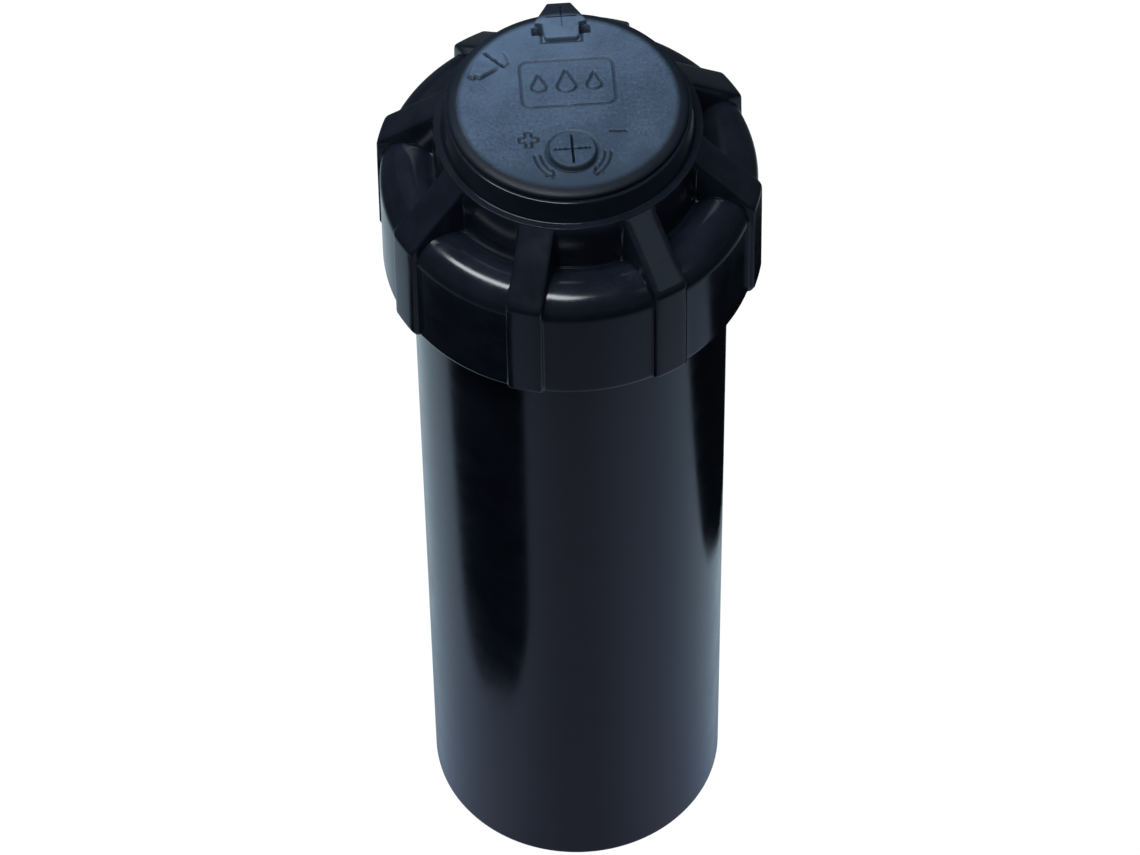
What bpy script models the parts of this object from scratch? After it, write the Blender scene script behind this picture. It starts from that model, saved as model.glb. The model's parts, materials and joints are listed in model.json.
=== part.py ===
"""Gear-driven pop-up sprinkler: a threaded can with a ribbed cap, and a riser that holds
a filter, a stator, a turbine, a reduction gear train and a turning nozzle turret.

All sizes are in millimetres. +Z is up along the axis, z = 0 is the face the can stands on,
and the nozzle points to +Y. The riser is modelled down in the can.
"""

import math

import bmesh
import bpy
from mathutils import Matrix, Vector

MM = 0.001

# --- Driving dimensions ---------------------------------------------------------------
GAP = 0.3                    # parting gap between neighbouring pieces
RUN = 0.1                    # running clearance of a small shaft in its hole
SEGMENTS = 32                # facets round a large turned piece
SMALL_SEGMENTS = 16          # facets round a small turned piece

STEM_R = 19.4                # outside of the riser, which sets every radius round it
MODULE = 0.5                 # of all the gears
NOZZLE_HEADING = 3.6         # degrees the turret is turned at rest

# Can
CAN_HEIGHT = 174.0           # base face to the rim that the cap clamps on
CAN_R_TOP = STEM_R + 9.6
CAN_R_BASE = CAN_R_TOP - 0.8
CAN_WALL = 2.2
CAN_EDGE = 1.2               # rounding of the base edge
FLOOR_UNDERSIDE = 17.0
FLOOR_THICKNESS = 3.0
INLET_R = 12.4               # mean radius of the 3/4 in female pipe thread
INLET_DEPTH = 15.0
INLET_WALL = 4.6
INLET_PORT_R = 9.0
BASE_WEBS = 8
WEB_THICKNESS = 2.0
WEB_RECESS = 2.0             # how far the webs stop short of the base face
KEYS = 4                     # guide keys inside the can
KEY_WIDTH = 3.0
KEY_REACH = STEM_R + 5.4     # radius of the keys' inner faces
SEAL_STEP = 6.0              # depth of the counterbore that seats the seal

# Thread between can and cap, modelled as plain rings
THREAD_PITCH = 4.0
THREAD_TURNS = 2
THREAD_DEPTH = 1.3
THREAD_ROOT_R = CAN_R_TOP + 0.3
THREAD_BASE = 2.2            # width of a ridge at its root
THREAD_CREST = 1.0
THREAD_CLEAR = 0.7           # radial clearance over a ridge's crest
THREAD_START = 5.0           # skirt's edge to the can's lowest ridge
SEAT_WALL = 1.4              # thread's root to the seal's counterbore

# Cap
SKIRT_HEIGHT = 18.3          # cap ledge down to the skirt's edge
SKIRT_WALL = 3.0
SHOULDER_R = 5.4             # radius of the rounded shoulder between the ribs
DOME_RISE = 2.0              # shoulder centre above the ledge
NECK_HEIGHT = 21.1           # ledge up to the neck's rim
NECK_TIER = 4.7              # height of the neck's slimmer top tier
NECK_WALL = 2.3
NECK_STEP = 1.3              # width of the step below the top tier
NECK_TAPER = 0.75
CAP_RIBS = 8
RIB_WIDTH = 6.5
RIB_PROUD = 1.1              # how far a rib stands out of the skirt
RIB_SHOULDER_DROP = 10.5     # fall of a rib's sloping top from neck to skirt
RIB_HEADING = -14.0          # degrees from the front to the first rib
SEAL_CHAMBER = 5.0           # height of the space in the neck for the seal's lip

# Riser stem
STEM_WALL = 2.0
NECK_CLEAR = 0.5             # radial clearance of the riser in the neck
FLANGE_R = STEM_R + 2.2
FLANGE_THICKNESS = 3.5
FLANGE_LIFT = 1.2            # stem end to flange
FLANGE_NOTCHES = 16
NOTCH_R = 0.7

# Ratchet ring, seal, springs
RATCHET_THICKNESS = 6.0
RATCHET_SKIRT = 4.3
SEAL_RING_THICKNESS = 3.0
SEAL_LIP_HEIGHT = 4.2
SPRING_WIRE = 1.8
SPRING_TURNS = 11
SPRING_CLEAR = 2.3           # stem wall to the coil's inside

# Filter
FILTER_COLLAR = 3.4
FILTER_TAPER = 2.0
FILTER_WALL = 1.2
FILTER_WINDOWS = 6
FILTER_INSET = 1.3           # collar wall in from the stem

# Stator, valve and flow reversing plate
STATOR_DROP = 62.8           # stem's top down to the stator plate's underside
VALVE_ROOM = 12.4            # filter's top to the stator, where the bypass spring sits
STATOR_PLATE = 4.0
STATOR_WALL_HEIGHT = 13.0
STATOR_WALL = 1.2
STATOR_LEDGE = 8.0           # plate underside to the ledge that carries the reversing plate
STATOR_PORTS = 8
STATOR_PORT_R = 2.2
VALVE_PORT_R = 5.5
VALVE_LAP = 1.0              # how far the valve's disc laps over its seat
VALVE_DISC = 1.5
VALVE_STEM_R = 1.0
VALVE_GUIDE_R = 2.6
VALVE_GUIDE_LENGTH = 2.2
SPOKE_WIDTH = 1.6
VALVE_COLLAR_R = 3.2
VALVE_COLLAR_THICKNESS = 1.5
VALVE_SPRING_LENGTH = 5.9
VALVE_SPRING_WIRE = 0.5
VALVE_SPRING_TURNS = 4
SHIFT_PLATE = 2.5
SHIFT_HOLE_R = 7.3

# Trip rod
TRIP_ROD_R = 0.6
TRIP_ARM = 4.0               # rod axis to the lower arm's tip
TRIP_LEVER_LAP = 0.5         # how far the upper arm reaches under the arc tab
TRIP_ARM_WIDTH = 1.6
TRIP_ARM_THICKNESS = 1.5
RELIEF_WIDTH = 9.0           # opening in the stator wall round the rod
RELIEF_ROOM = 2.2            # rod axis in to the opening's edge

# Turbine
TURBINE_LENGTH = 7.0
TURBINE_CLEAR = 1.8          # blade tips to the trip rod
TURBINE_HUB_R = 4.0
TURBINE_BLADES = 12
BLADE_SWEEP = 1.6            # how far a blade leans each way from its middle
BLADE_THICKNESS = 1.0

# Gear train
PINION_TEETH = 8
WHEEL_TEETH = 22
RING_TEETH = 38
ARC_TEETH = 38
TOOTH_ADDENDUM = 0.8         # in modules
TOOTH_DEDENDUM = 1.2
TOOTH_WIDTHS = (0.70, 0.18)  # half widths at root and tip, in half pitches
WHEEL_THICKNESS = 2.5
PINION_LENGTH = 4.5
WHEEL_STEP = 3.7             # height from one cluster's wheel to the next
SHAFT_R = 0.7

# Gearcase
CASE_DROP = 39.8             # stem's top down to the gearcase floor
CASE_FLOOR = 2.0
CASE_WALL = 1.2
CASE_CLEAR = 0.7             # clearance round the largest gear
CASE_FINS = 3
FIN_THICKNESS = 1.6
FIN_HEIGHT = 14.0
LID_THICKNESS = 3.0
BUSH_WALL = 1.3
BUSH_LENGTH = 3.6

# Output gear and tube
CUP_PLATE = 3.0
CUP_WALL = 1.9
TUBE_R = 12 * MODULE
TUBE_WALL = 1.6
TUBE_WINDOWS = 4
TUBE_WINDOW_WIDTH = 5.0
TUBE_WINDOW_HEIGHT = 3.8
ARC_SHOULDER_THICKNESS = 1.4
TUBE_SOCKET = 7.4            # how far the tube reaches into the turret

# Arc adjustment
ARC_RING_THICKNESS = 3.5
ARC_SCREW_R = 2.0
ARC_SCREW_HEAD_DEPTH = 0.7   # screw top below the lid's face
TAB_DROP = 4.0               # how far the trip tabs hang below the arc ring
TAB_WIDTH = 3.0
ARC_TAB_SHARE = 0.6          # tab's depth as a share of the room beside the tube
FIXED_TAB_DEPTH = 2.0
SOCKET_R = 0.95              # hexagon sockets in the screws
SOCKET_DEPTH = 2.2

# Turret
TURRET_HEIGHT = 29.7         # turret floor to the housing's top
TURRET_WALL = 1.8
TURRET_FLOOR = 3.0
TURRET_LID = 3.7
HUB_WALL = 1.4
PASSAGE_R = 5.0
NOZZLE_TILT = 25.0
NOZZLE_SEAT_R = 6.2
NOZZLE_SEAT_WALL = 1.6
NOZZLE_AXIS_RISE = 12.0      # turret floor to where the nozzle's axis meets the main axis
NOZZLE_START = 7.0           # along the nozzle's axis
NOZZLE_LENGTH = 9.3
NOZZLE_THROAT_R = 4.6
NOZZLE_MOUTH_R = 2.6
RADIUS_SCREW_AT = 16.9       # distance of the screw's axis from the main axis
RADIUS_SCREW_R = 1.5
RADIUS_SCREW_LENGTH = 5.5
KEY_SLOT_LENGTH = 6.5
KEY_SLOT_WIDTH = 2.2
KEY_SLOT_AT = (-13.1, 9.7)
KEY_SLOT_TURN = -48.0
WASHER_THICKNESS = 0.9

# Rubber cover
COVER_R = STEM_R + 1.3
COVER_HEIGHT = 2.7
COVER_LIP_R = STEM_R + 2.2
COVER_LIP = 0.7
COVER_EDGE = 0.9
COVER_PLUG = 1.4             # cover's underside to its lip
BOSS_R = 4.35
BOSS_RISE = 0.8
TAB_RISE = 1.06
TAB_TIP_WIDTH = 4.3
TAB_HEAD_WIDTH = 10.5
TAB_SHAFT_WIDTH = 6.8
TAB_LENGTH = 8.3
TAB_HEAD = 4.6               # head's length along the arrow
TAB_OVERHANG = 2.1
PLATE_SIZE = (17.4, 11.6)
PLATE_AT = (0.1, 4.6)
PLATE_ROUND = 1.6
PLATE_RISE = 0.25
PAD_RISE = 0.6

# --- Levels and radii that follow from the driving dimensions ---------------------------
FLOOR_TOP = FLOOR_UNDERSIDE + FLOOR_THICKNESS
STEM_Z = FLOOR_TOP + GAP
FLANGE_Z = STEM_Z + FLANGE_LIFT
RATCHET_Z = FLANGE_Z + FLANGE_THICKNESS + GAP
RATCHET_TOP = RATCHET_Z + RATCHET_THICKNESS
SEAT_Z = CAN_HEIGHT - SEAL_STEP
LEDGE_Z = CAN_HEIGHT + GAP
SKIRT_Z = LEDGE_Z - SKIRT_HEIGHT
THREAD_CREST_R = THREAD_ROOT_R + THREAD_DEPTH
CAP_THREAD_ROOT_R = THREAD_CREST_R + THREAD_CLEAR
CAP_THREAD_CREST_R = CAP_THREAD_ROOT_R - THREAD_DEPTH
SKIRT_R = CAP_THREAD_ROOT_R + SKIRT_WALL
CAN_BODY_TOP = SKIRT_Z + THREAD_BASE / 2
NECK_BORE_R = STEM_R + NECK_CLEAR
NECK_Z = LEDGE_Z + NECK_HEIGHT
SHOULDER_CENTRE_R = SKIRT_R - SHOULDER_R

# The turret hangs below the neck's rim, and the stem and its works below the turret.
COVER_Z = NECK_Z + GAP - COVER_PLUG
COVER_TOP = COVER_Z + COVER_HEIGHT
TURRET_LID_TOP = COVER_Z - GAP
TURRET_LID_Z = TURRET_LID_TOP - TURRET_LID
TURRET_TOP = TURRET_LID_Z - GAP
TURRET_Z = TURRET_TOP - TURRET_HEIGHT
STEM_TOP = TURRET_Z - WASHER_THICKNESS - 2 * GAP
STATOR_Z = STEM_TOP - STATOR_DROP
CASE_FLOOR_Z = STEM_TOP - CASE_DROP

STEM_BORE_R = STEM_R - STEM_WALL
INNER_R = STEM_BORE_R - GAP
SHIFT_R = INNER_R - STATOR_WALL - GAP
SHIFT_Z = STATOR_Z + STATOR_LEDGE + GAP
VALVE_Z = STATOR_Z + STATOR_PLATE + GAP

PINION_R = MODULE * PINION_TEETH / 2
WHEEL_R = MODULE * WHEEL_TEETH / 2
RING_R = MODULE * RING_TEETH / 2
ARC_R = MODULE * ARC_TEETH / 2
SHAFT_SPACING = PINION_R + WHEEL_R
ARC_SCREW_AT = ARC_R + PINION_R
TIP = TOOTH_ADDENDUM * MODULE
ROOT = TOOTH_DEDENDUM * MODULE
ARC_TAB_R = ARC_R - ROOT - 0.2
ARC_TAB_DEPTH = ARC_TAB_SHARE * (ARC_TAB_R - TUBE_R)
ARC_SHOULDER_R = ARC_TAB_R - ARC_TAB_DEPTH - 0.4

CASE_BORE_R = SHAFT_SPACING + WHEEL_R + TIP + CASE_CLEAR
CASE_R = CASE_BORE_R + CASE_WALL
CASE_INSIDE_Z = CASE_FLOOR_Z + CASE_FLOOR
FIRST_WHEEL_Z = CASE_INSIDE_Z + 5.3
RING_Z = FIRST_WHEEL_Z + 2 * WHEEL_STEP + WHEEL_THICKNESS + 1.6
CUP_PLATE_Z = RING_Z + PINION_LENGTH - 0.5
CUP_TOP = CUP_PLATE_Z + CUP_PLATE
LID_Z = CUP_TOP + 2 * GAP
CASE_TOP = LID_Z - GAP
LID_TOP = LID_Z + LID_THICKNESS
SHAFT_TOP = CUP_PLATE_Z - 2 * GAP
TRIP_AT = CASE_R + GAP + TRIP_ROD_R
TURBINE_R = TRIP_AT - TRIP_ROD_R - TURBINE_CLEAR
TRIP_LEVER = TRIP_AT - ARC_TAB_R + TRIP_LEVER_LAP
TRIP_ARM_Z = SHIFT_Z + (SHIFT_PLATE - TRIP_ARM_THICKNESS) / 2
TRIP_LEVER_Z = LID_TOP + 2 * GAP

ARC_Z = TURRET_Z - 4 * GAP - ARC_RING_THICKNESS
TUBE_TOP = TURRET_Z + TUBE_SOCKET
NOZZLE_AXIS_Z = TURRET_Z + NOZZLE_AXIS_RISE
NOZZLE_MOUTH = NOZZLE_START + NOZZLE_LENGTH
RADIUS_SCREW_TOP = TURRET_LID_TOP - 0.6

SPRING_R = STEM_R + SPRING_CLEAR + SPRING_WIRE / 2


def can_radius(z):
    """Outer radius of the tapering can at height z."""
    return CAN_R_BASE + (CAN_R_TOP - CAN_R_BASE) * min(z / CAN_BODY_TOP, 1.0)


def can_bore(z):
    return can_radius(z) - CAN_WALL


# --- Modelling helpers ------------------------------------------------------------------
def clear_scene():
    for thing in list(bpy.data.objects):
        bpy.data.objects.remove(thing, do_unlink=True)


def finish(name, colour, roughness, metallic=0.0):
    """A Principled material with the piece's plain colour."""
    material = bpy.data.materials.new(name)
    material.use_nodes = True
    shader = material.node_tree.nodes["Principled BSDF"]
    shader.inputs["Base Color"].default_value = (*colour, 1.0)
    shader.inputs["Roughness"].default_value = roughness
    shader.inputs["Metallic"].default_value = metallic
    return material


def empty(name, place=(0.0, 0.0, 0.0), turn=0.0, parent=None):
    """An axis that pieces hang on: place in millimetres, turn in degrees about Z."""
    axis = bpy.data.objects.new(name, None)
    axis.location = Vector(place) * MM
    axis.rotation_euler = (0.0, 0.0, math.radians(turn))
    axis.parent = parent
    bpy.context.collection.objects.link(axis)
    return axis


def solid(name, points, faces, material, parent):
    """A closed mesh object from points in millimetres in the parent's frame."""
    built = bmesh.new()
    corners = [built.verts.new(Vector(point) * MM) for point in points]
    for face in faces:
        built.faces.new([corners[index] for index in face])
    loose = [corner for corner in corners if not corner.link_faces]
    bmesh.ops.delete(built, geom=loose, context="VERTS")
    bmesh.ops.recalc_face_normals(built, faces=built.faces)
    mesh = bpy.data.meshes.new(name)
    built.to_mesh(mesh)
    built.free()
    mesh.shade_smooth()
    mesh.set_sharp_from_angle(angle=math.radians(32))
    mesh.materials.append(material)
    piece = bpy.data.objects.new(name, mesh)
    piece.parent = parent
    bpy.context.collection.objects.link(piece)
    return piece


def turned(name, outline, material, parent, segments=SEGMENTS):
    """A solid of revolution. The outline lists (radius, z); it starts and ends on the axis,
    or closes on itself as a ring."""
    points = []
    rings = []
    for radius, z in outline:
        steps = segments if radius > 0 else 1
        rings.append([len(points) + step for step in range(steps)])
        for step in range(steps):
            angle = 2 * math.pi * step / segments
            points.append((radius * math.cos(angle), radius * math.sin(angle), z))
    pairs = list(zip(rings, rings[1:]))
    if outline[0][0] > 0:
        pairs.append((rings[-1], rings[0]))
    faces = []
    for low, high in pairs:
        if len(low) != len(high) and points[low[0]][2] == points[high[0]][2]:
            faces.append(max(low, high, key=len))
            continue
        for step in range(segments):
            after = (step + 1) % segments
            corners = [low[step % len(low)], low[after % len(low)]]
            corners += [high[after % len(high)], high[step % len(high)]]
            faces.append(list(dict.fromkeys(corners)))
    return solid(name, points, faces, material, parent)


def prism(name, outline, low, high, material, parent):
    """An outline in X and Y drawn up from one level to another."""
    count = len(outline)
    points = [(x, y, z) for z in (low, high) for x, y in outline]
    faces = [list(range(count)), list(range(count, 2 * count))]
    for step in range(count):
        after = (step + 1) % count
        faces.append([step, after, count + after, count + step])
    return solid(name, points, faces, material, parent)


def rod(name, radius, low, high, material, parent, at=(0.0, 0.0), segments=SMALL_SEGMENTS):
    """An upright cylinder."""
    outline = [(at[0] + x, at[1] + y) for x, y in circle(radius, segments)]
    return prism(name, outline, low, high, material, parent)


def block(name, size, centre, material, parent, turn=0.0):
    """A box, turned about Z before it is moved to its centre."""
    half_x, half_y, half_z = (side / 2 for side in size)
    corners = [(-half_x, -half_y), (half_x, -half_y), (half_x, half_y), (-half_x, half_y)]
    spin = Matrix.Rotation(math.radians(turn), 2)
    outline = []
    for corner in corners:
        x, y = spin @ Vector(corner)
        outline.append((centre[0] + x, centre[1] + y))
    return prism(name, outline, centre[2] - half_z, centre[2] + half_z, material, parent)


def coil(name, radius, wire, turns, low, high, material, parent, steps=8):
    """A helical spring wire whose centre line runs from low to high."""
    curve = bpy.data.curves.new(name, "CURVE")
    curve.dimensions = "3D"
    curve.bevel_depth = wire / 2 * MM
    curve.bevel_resolution = 1
    curve.use_fill_caps = True
    spline = curve.splines.new("POLY")
    count = turns * steps + 1
    spline.points.add(count - 1)
    for index in range(count):
        share = index / (count - 1)
        angle = 2 * math.pi * index / steps
        place = (radius * math.cos(angle), radius * math.sin(angle), low + (high - low) * share)
        spline.points[index].co = (*(Vector(place) * MM), 1.0)
    curve.materials.append(material)
    piece = bpy.data.objects.new(name, curve)
    piece.parent = parent
    bpy.context.collection.objects.link(piece)
    return piece


def combine(piece, other, operation):
    modifier = piece.modifiers.new(other.name, "BOOLEAN")
    modifier.operation = operation
    modifier.solver = "EXACT"
    modifier.object = other
    other.hide_render = True
    other.display_type = "WIRE"


def cut(piece, *tools):
    for tool in tools:
        combine(piece, tool, "DIFFERENCE")


def join(piece, *others):
    for other in others:
        combine(piece, other, "UNION")


def circle(radius, segments=SMALL_SEGMENTS):
    steps = (2 * math.pi * (step + 0.5) / segments for step in range(segments))
    return [(radius * math.cos(angle), radius * math.sin(angle)) for angle in steps]


def round_about(count, start=0.0):
    """Evenly spaced headings in degrees."""
    return [start + 360.0 * index / count for index in range(count)]


def polar(radius, heading):
    return radius * math.cos(math.radians(heading)), radius * math.sin(math.radians(heading))


def gear_outline(teeth, half_pitch_turn, internal=False):
    """Trapezoid teeth. half_pitch_turn of 1 puts a space, not a tooth, at heading 0."""
    pitch_radius = MODULE * teeth / 2
    side = -1 if internal else 1
    root = pitch_radius - side * TOOTH_DEDENDUM * MODULE
    tip = pitch_radius + side * TOOTH_ADDENDUM * MODULE
    levels = list(zip((root, tip), TOOTH_WIDTHS))
    half_pitch = math.pi / teeth
    outline = []
    for tooth in range(teeth):
        middle = (2 * tooth + half_pitch_turn) * half_pitch
        flank = [(radius, -width) for radius, width in levels]
        flank += [(radius, width) for radius, width in reversed(levels)]
        for radius, width in flank:
            angle = middle + width * half_pitch
            outline.append((radius * math.cos(angle), radius * math.sin(angle)))
    return outline


def thread_ridges(root, crest, lowest):
    """Points up the section of a thread whose lowest ridge is centred at a level."""
    points = []
    for turn in range(THREAD_TURNS):
        centre = lowest + THREAD_PITCH * turn
        points.append((root, centre - THREAD_BASE / 2))
        points.append((crest, centre - THREAD_CREST / 2))
        points.append((crest, centre + THREAD_CREST / 2))
        points.append((root, centre + THREAD_BASE / 2))
    return points


# --- Can, cap and seal --------------------------------------------------------------------
def make_can(parent, plastic):
    boss_r = INLET_R + INLET_WALL
    top_bore = can_bore(SEAT_Z)
    seat_r = THREAD_ROOT_R - SEAT_WALL
    outline = [
        (CAN_R_BASE - CAN_EDGE, 0.0),
        (CAN_R_BASE - 0.3 * CAN_EDGE, 0.3 * CAN_EDGE),
        (CAN_R_BASE, CAN_EDGE),
        (CAN_R_TOP, CAN_BODY_TOP),
        (THREAD_ROOT_R, CAN_BODY_TOP + 0.6),
    ]
    outline += thread_ridges(THREAD_ROOT_R, THREAD_CREST_R, SKIRT_Z + THREAD_START)
    outline += [
        (THREAD_ROOT_R, CAN_HEIGHT),
        (seat_r, CAN_HEIGHT),
        (seat_r, SEAT_Z),
        (top_bore, SEAT_Z),
        (can_bore(FLOOR_TOP), FLOOR_TOP),
        (INLET_PORT_R, FLOOR_TOP),
        (INLET_PORT_R, INLET_DEPTH),
        (INLET_R, INLET_DEPTH),
        (INLET_R, 0.0),
        (boss_r, 0.0),
        (boss_r, FLOOR_UNDERSIDE),
        (can_bore(0.0) - 0.4, FLOOR_UNDERSIDE),
        (can_bore(0.0) - 0.4, 0.0),
    ]
    can = turned("body_can", outline, plastic, parent)

    web_length = can_bore(0.0) - boss_r + 1.0
    web_height = FLOOR_UNDERSIDE - WEB_RECESS + 1.0
    for index, heading in enumerate(round_about(BASE_WEBS, 22.5)):
        x, y = polar(boss_r - 0.8 + web_length / 2, heading)
        centre = (x, y, WEB_RECESS + web_height / 2)
        size = (web_length, WEB_THICKNESS, web_height)
        join(can, block(f"web_{index}", size, centre, plastic, parent, heading))

    key_low, key_high = FLOOR_TOP - 1.0, SEAT_Z - 3.0
    key_depth = CAN_R_BASE - CAN_WALL / 2 - KEY_REACH + 0.2
    for index, heading in enumerate(round_about(KEYS)):
        x, y = polar(KEY_REACH + key_depth / 2, heading)
        centre = (x, y, (key_low + key_high) / 2)
        size = (key_depth, KEY_WIDTH, key_high - key_low)
        join(can, block(f"key_{index}", size, centre, plastic, parent, heading))
    return can


def cap_outline():
    """The cap's section, from the neck's bore out over the shoulder and back inside."""
    neck_top_r = NECK_BORE_R + NECK_WALL
    neck_foot_r = neck_top_r + NECK_TAPER
    collar_r = neck_foot_r + NECK_STEP
    tier_z = NECK_Z - NECK_TIER
    shoulder_z = LEDGE_Z + DOME_RISE
    outline = [
        (NECK_BORE_R, NECK_Z),
        (neck_top_r - 0.35, NECK_Z),
        (neck_top_r, NECK_Z - 0.35),
        (neck_foot_r, tier_z),
        (collar_r, tier_z),
    ]
    start = 140.0
    reach = SHOULDER_CENTRE_R + SHOULDER_R * math.cos(math.radians(start))
    outline.append((min(collar_r + 0.1, reach - 0.1), shoulder_z + 0.62 * SHOULDER_R))
    steps = 7
    for step in range(steps + 1):
        angle = math.radians(start * (1 - step / steps))
        radius = SHOULDER_CENTRE_R + SHOULDER_R * math.cos(angle)
        outline.append((radius, shoulder_z + SHOULDER_R * math.sin(angle)))
    outline += [
        (SKIRT_R, SKIRT_Z + 0.9),
        (SKIRT_R - 0.6, SKIRT_Z),
        (CAP_THREAD_ROOT_R, SKIRT_Z),
    ]
    lowest = SKIRT_Z + THREAD_START + THREAD_PITCH / 2
    outline += thread_ridges(CAP_THREAD_ROOT_R, CAP_THREAD_CREST_R, lowest)
    outline += [
        (CAP_THREAD_ROOT_R, LEDGE_Z),
        (NECK_BORE_R + 2.4, LEDGE_Z),
        (NECK_BORE_R + 2.4, LEDGE_Z + SEAL_CHAMBER - 1.0),
        (NECK_BORE_R, LEDGE_Z + SEAL_CHAMBER),
    ]
    return outline


def make_cap(parent, plastic):
    cap = turned("body_cap", cap_outline(), plastic, parent)
    collar_r = NECK_BORE_R + NECK_WALL + NECK_TAPER + NECK_STEP
    crown_z = NECK_Z - NECK_TIER - 0.2
    rib_r = SKIRT_R + RIB_PROUD
    rib_foot = SKIRT_Z + 0.5
    neck_r = NECK_BORE_R + NECK_WALL / 2
    skirt_r = SKIRT_R - SKIRT_WALL / 2
    web_z = LEDGE_Z + 1.6
    side = [
        (neck_r, crown_z),
        (collar_r, crown_z),
        (rib_r, crown_z - RIB_SHOULDER_DROP),
        (rib_r, rib_foot + 0.6),
        (rib_r - 0.6, rib_foot),
        (skirt_r, rib_foot),
        (skirt_r, web_z),
        (neck_r, web_z),
    ]
    for index, turn in enumerate(round_about(CAP_RIBS, RIB_HEADING)):
        join(cap, rib_prism(f"rib_{index}", side, turn - 90.0, plastic, parent))
    return cap


def rib_prism(name, side, heading, material, parent):
    """A rib from its (radius, z) side view, standing at a heading from +X."""
    count = len(side)
    points = []
    for across in (-RIB_WIDTH / 2, RIB_WIDTH / 2):
        for radius, z in side:
            along, sideways = Matrix.Rotation(math.radians(heading), 2) @ Vector((radius, across))
            points.append((along, sideways, z))
    faces = [list(range(count)), list(range(count, 2 * count))]
    for step in range(count):
        after = (step + 1) % count
        faces.append([step, after, count + after, count + step])
    return solid(name, points, faces, material, parent)


def make_seal(parent, rubber, plastic):
    outer = THREAD_ROOT_R - SEAT_WALL - GAP
    ring_low = SEAT_Z + GAP
    ring_high = ring_low + SEAL_RING_THICKNESS
    inner = STEM_R + 2 * GAP
    outline = [(inner, ring_low), (outer, ring_low), (outer, ring_high), (inner, ring_high)]
    turned("seal_support_ring", outline, plastic, parent)

    low = ring_high + GAP
    high = CAN_HEIGHT - 0.1
    lip_high = low + SEAL_LIP_HEIGHT
    lip_r = STEM_R + GAP
    outline = [
        (lip_r + 0.5, low),
        (outer, low),
        (outer, high),
        (lip_r + 2.0, high),
        (lip_r + 1.0, lip_high),
        (lip_r, lip_high),
        (lip_r + 0.5, high - 0.6),
    ]
    turned("riser_seal", outline, rubber, parent)


def make_ratchet_ring(parent, plastic):
    bore = STEM_R + GAP
    skirt_bore = FLANGE_R + GAP
    outer = can_bore(STEM_Z) - GAP
    outline = [
        (bore, RATCHET_Z),
        (skirt_bore, RATCHET_Z),
        (skirt_bore, RATCHET_Z - RATCHET_SKIRT),
        (outer, RATCHET_Z - RATCHET_SKIRT),
        (outer, RATCHET_TOP),
        (bore, RATCHET_TOP),
    ]
    ring = turned("ratchet_ring", outline, plastic, parent)
    for index, heading in enumerate(round_about(KEYS)):
        x, y = polar(KEY_REACH - GAP + 5.0, heading)
        size = (10.0, KEY_WIDTH + 2 * GAP, RATCHET_THICKNESS + RATCHET_SKIRT + 2.0)
        centre = (x, y, RATCHET_TOP - size[2] / 2 + 1.0)
        cut(ring, block(f"key_notch_{index}", size, centre, plastic, parent, heading))


# --- Riser --------------------------------------------------------------------------------
def make_stem(parent, plastic):
    flange_top = FLANGE_Z + FLANGE_THICKNESS
    outline = [
        (STEM_BORE_R, STEM_Z),
        (STEM_R, STEM_Z),
        (STEM_R, FLANGE_Z),
        (FLANGE_R, FLANGE_Z),
        (FLANGE_R, flange_top),
        (STEM_R, flange_top),
        (STEM_R, STEM_TOP),
        (STEM_BORE_R, STEM_TOP),
    ]
    stem = turned("riser_stem", outline, plastic, parent)
    for index, heading in enumerate(round_about(FLANGE_NOTCHES, 4.0)):
        at = polar(FLANGE_R + 0.1, heading)
        low, high = FLANGE_Z - 1, flange_top + 1
        cut(stem, rod(f"notch_{index}", NOTCH_R, low, high, plastic, parent, at, 6))
    return stem


def make_filter(parent, plastic):
    collar_r = STEM_BORE_R - GAP
    basket_r = collar_r - FILTER_INSET
    top_r = basket_r - FILTER_TAPER
    low = STEM_Z + GAP
    collar_top = low + FILTER_COLLAR
    high = STATOR_Z - VALVE_ROOM
    outline = [
        (basket_r - FILTER_WALL, low),
        (collar_r, low),
        (collar_r, collar_top),
        (basket_r, collar_top),
        (top_r, high),
        (0.0, high),
        (0.0, high - FILTER_WALL),
        (top_r - FILTER_WALL, high - FILTER_WALL),
    ]
    # The closed section starts on the bore, so the axis points come in the middle.
    outline = outline[6:] + outline[:6]
    screen = turned("filter_screen", outline, plastic, parent, SMALL_SEGMENTS + 4)
    window_low, window_high = collar_top + 3.0, high - 4.0
    for index, heading in enumerate(round_about(FILTER_WINDOWS // 2)):
        size = (2 * collar_r + 4.0, 9.0, window_high - window_low)
        centre = (0.0, 0.0, (window_low + window_high) / 2)
        cut(screen, block(f"window_{index}", size, centre, plastic, parent, heading / 2))
    return screen


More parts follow.
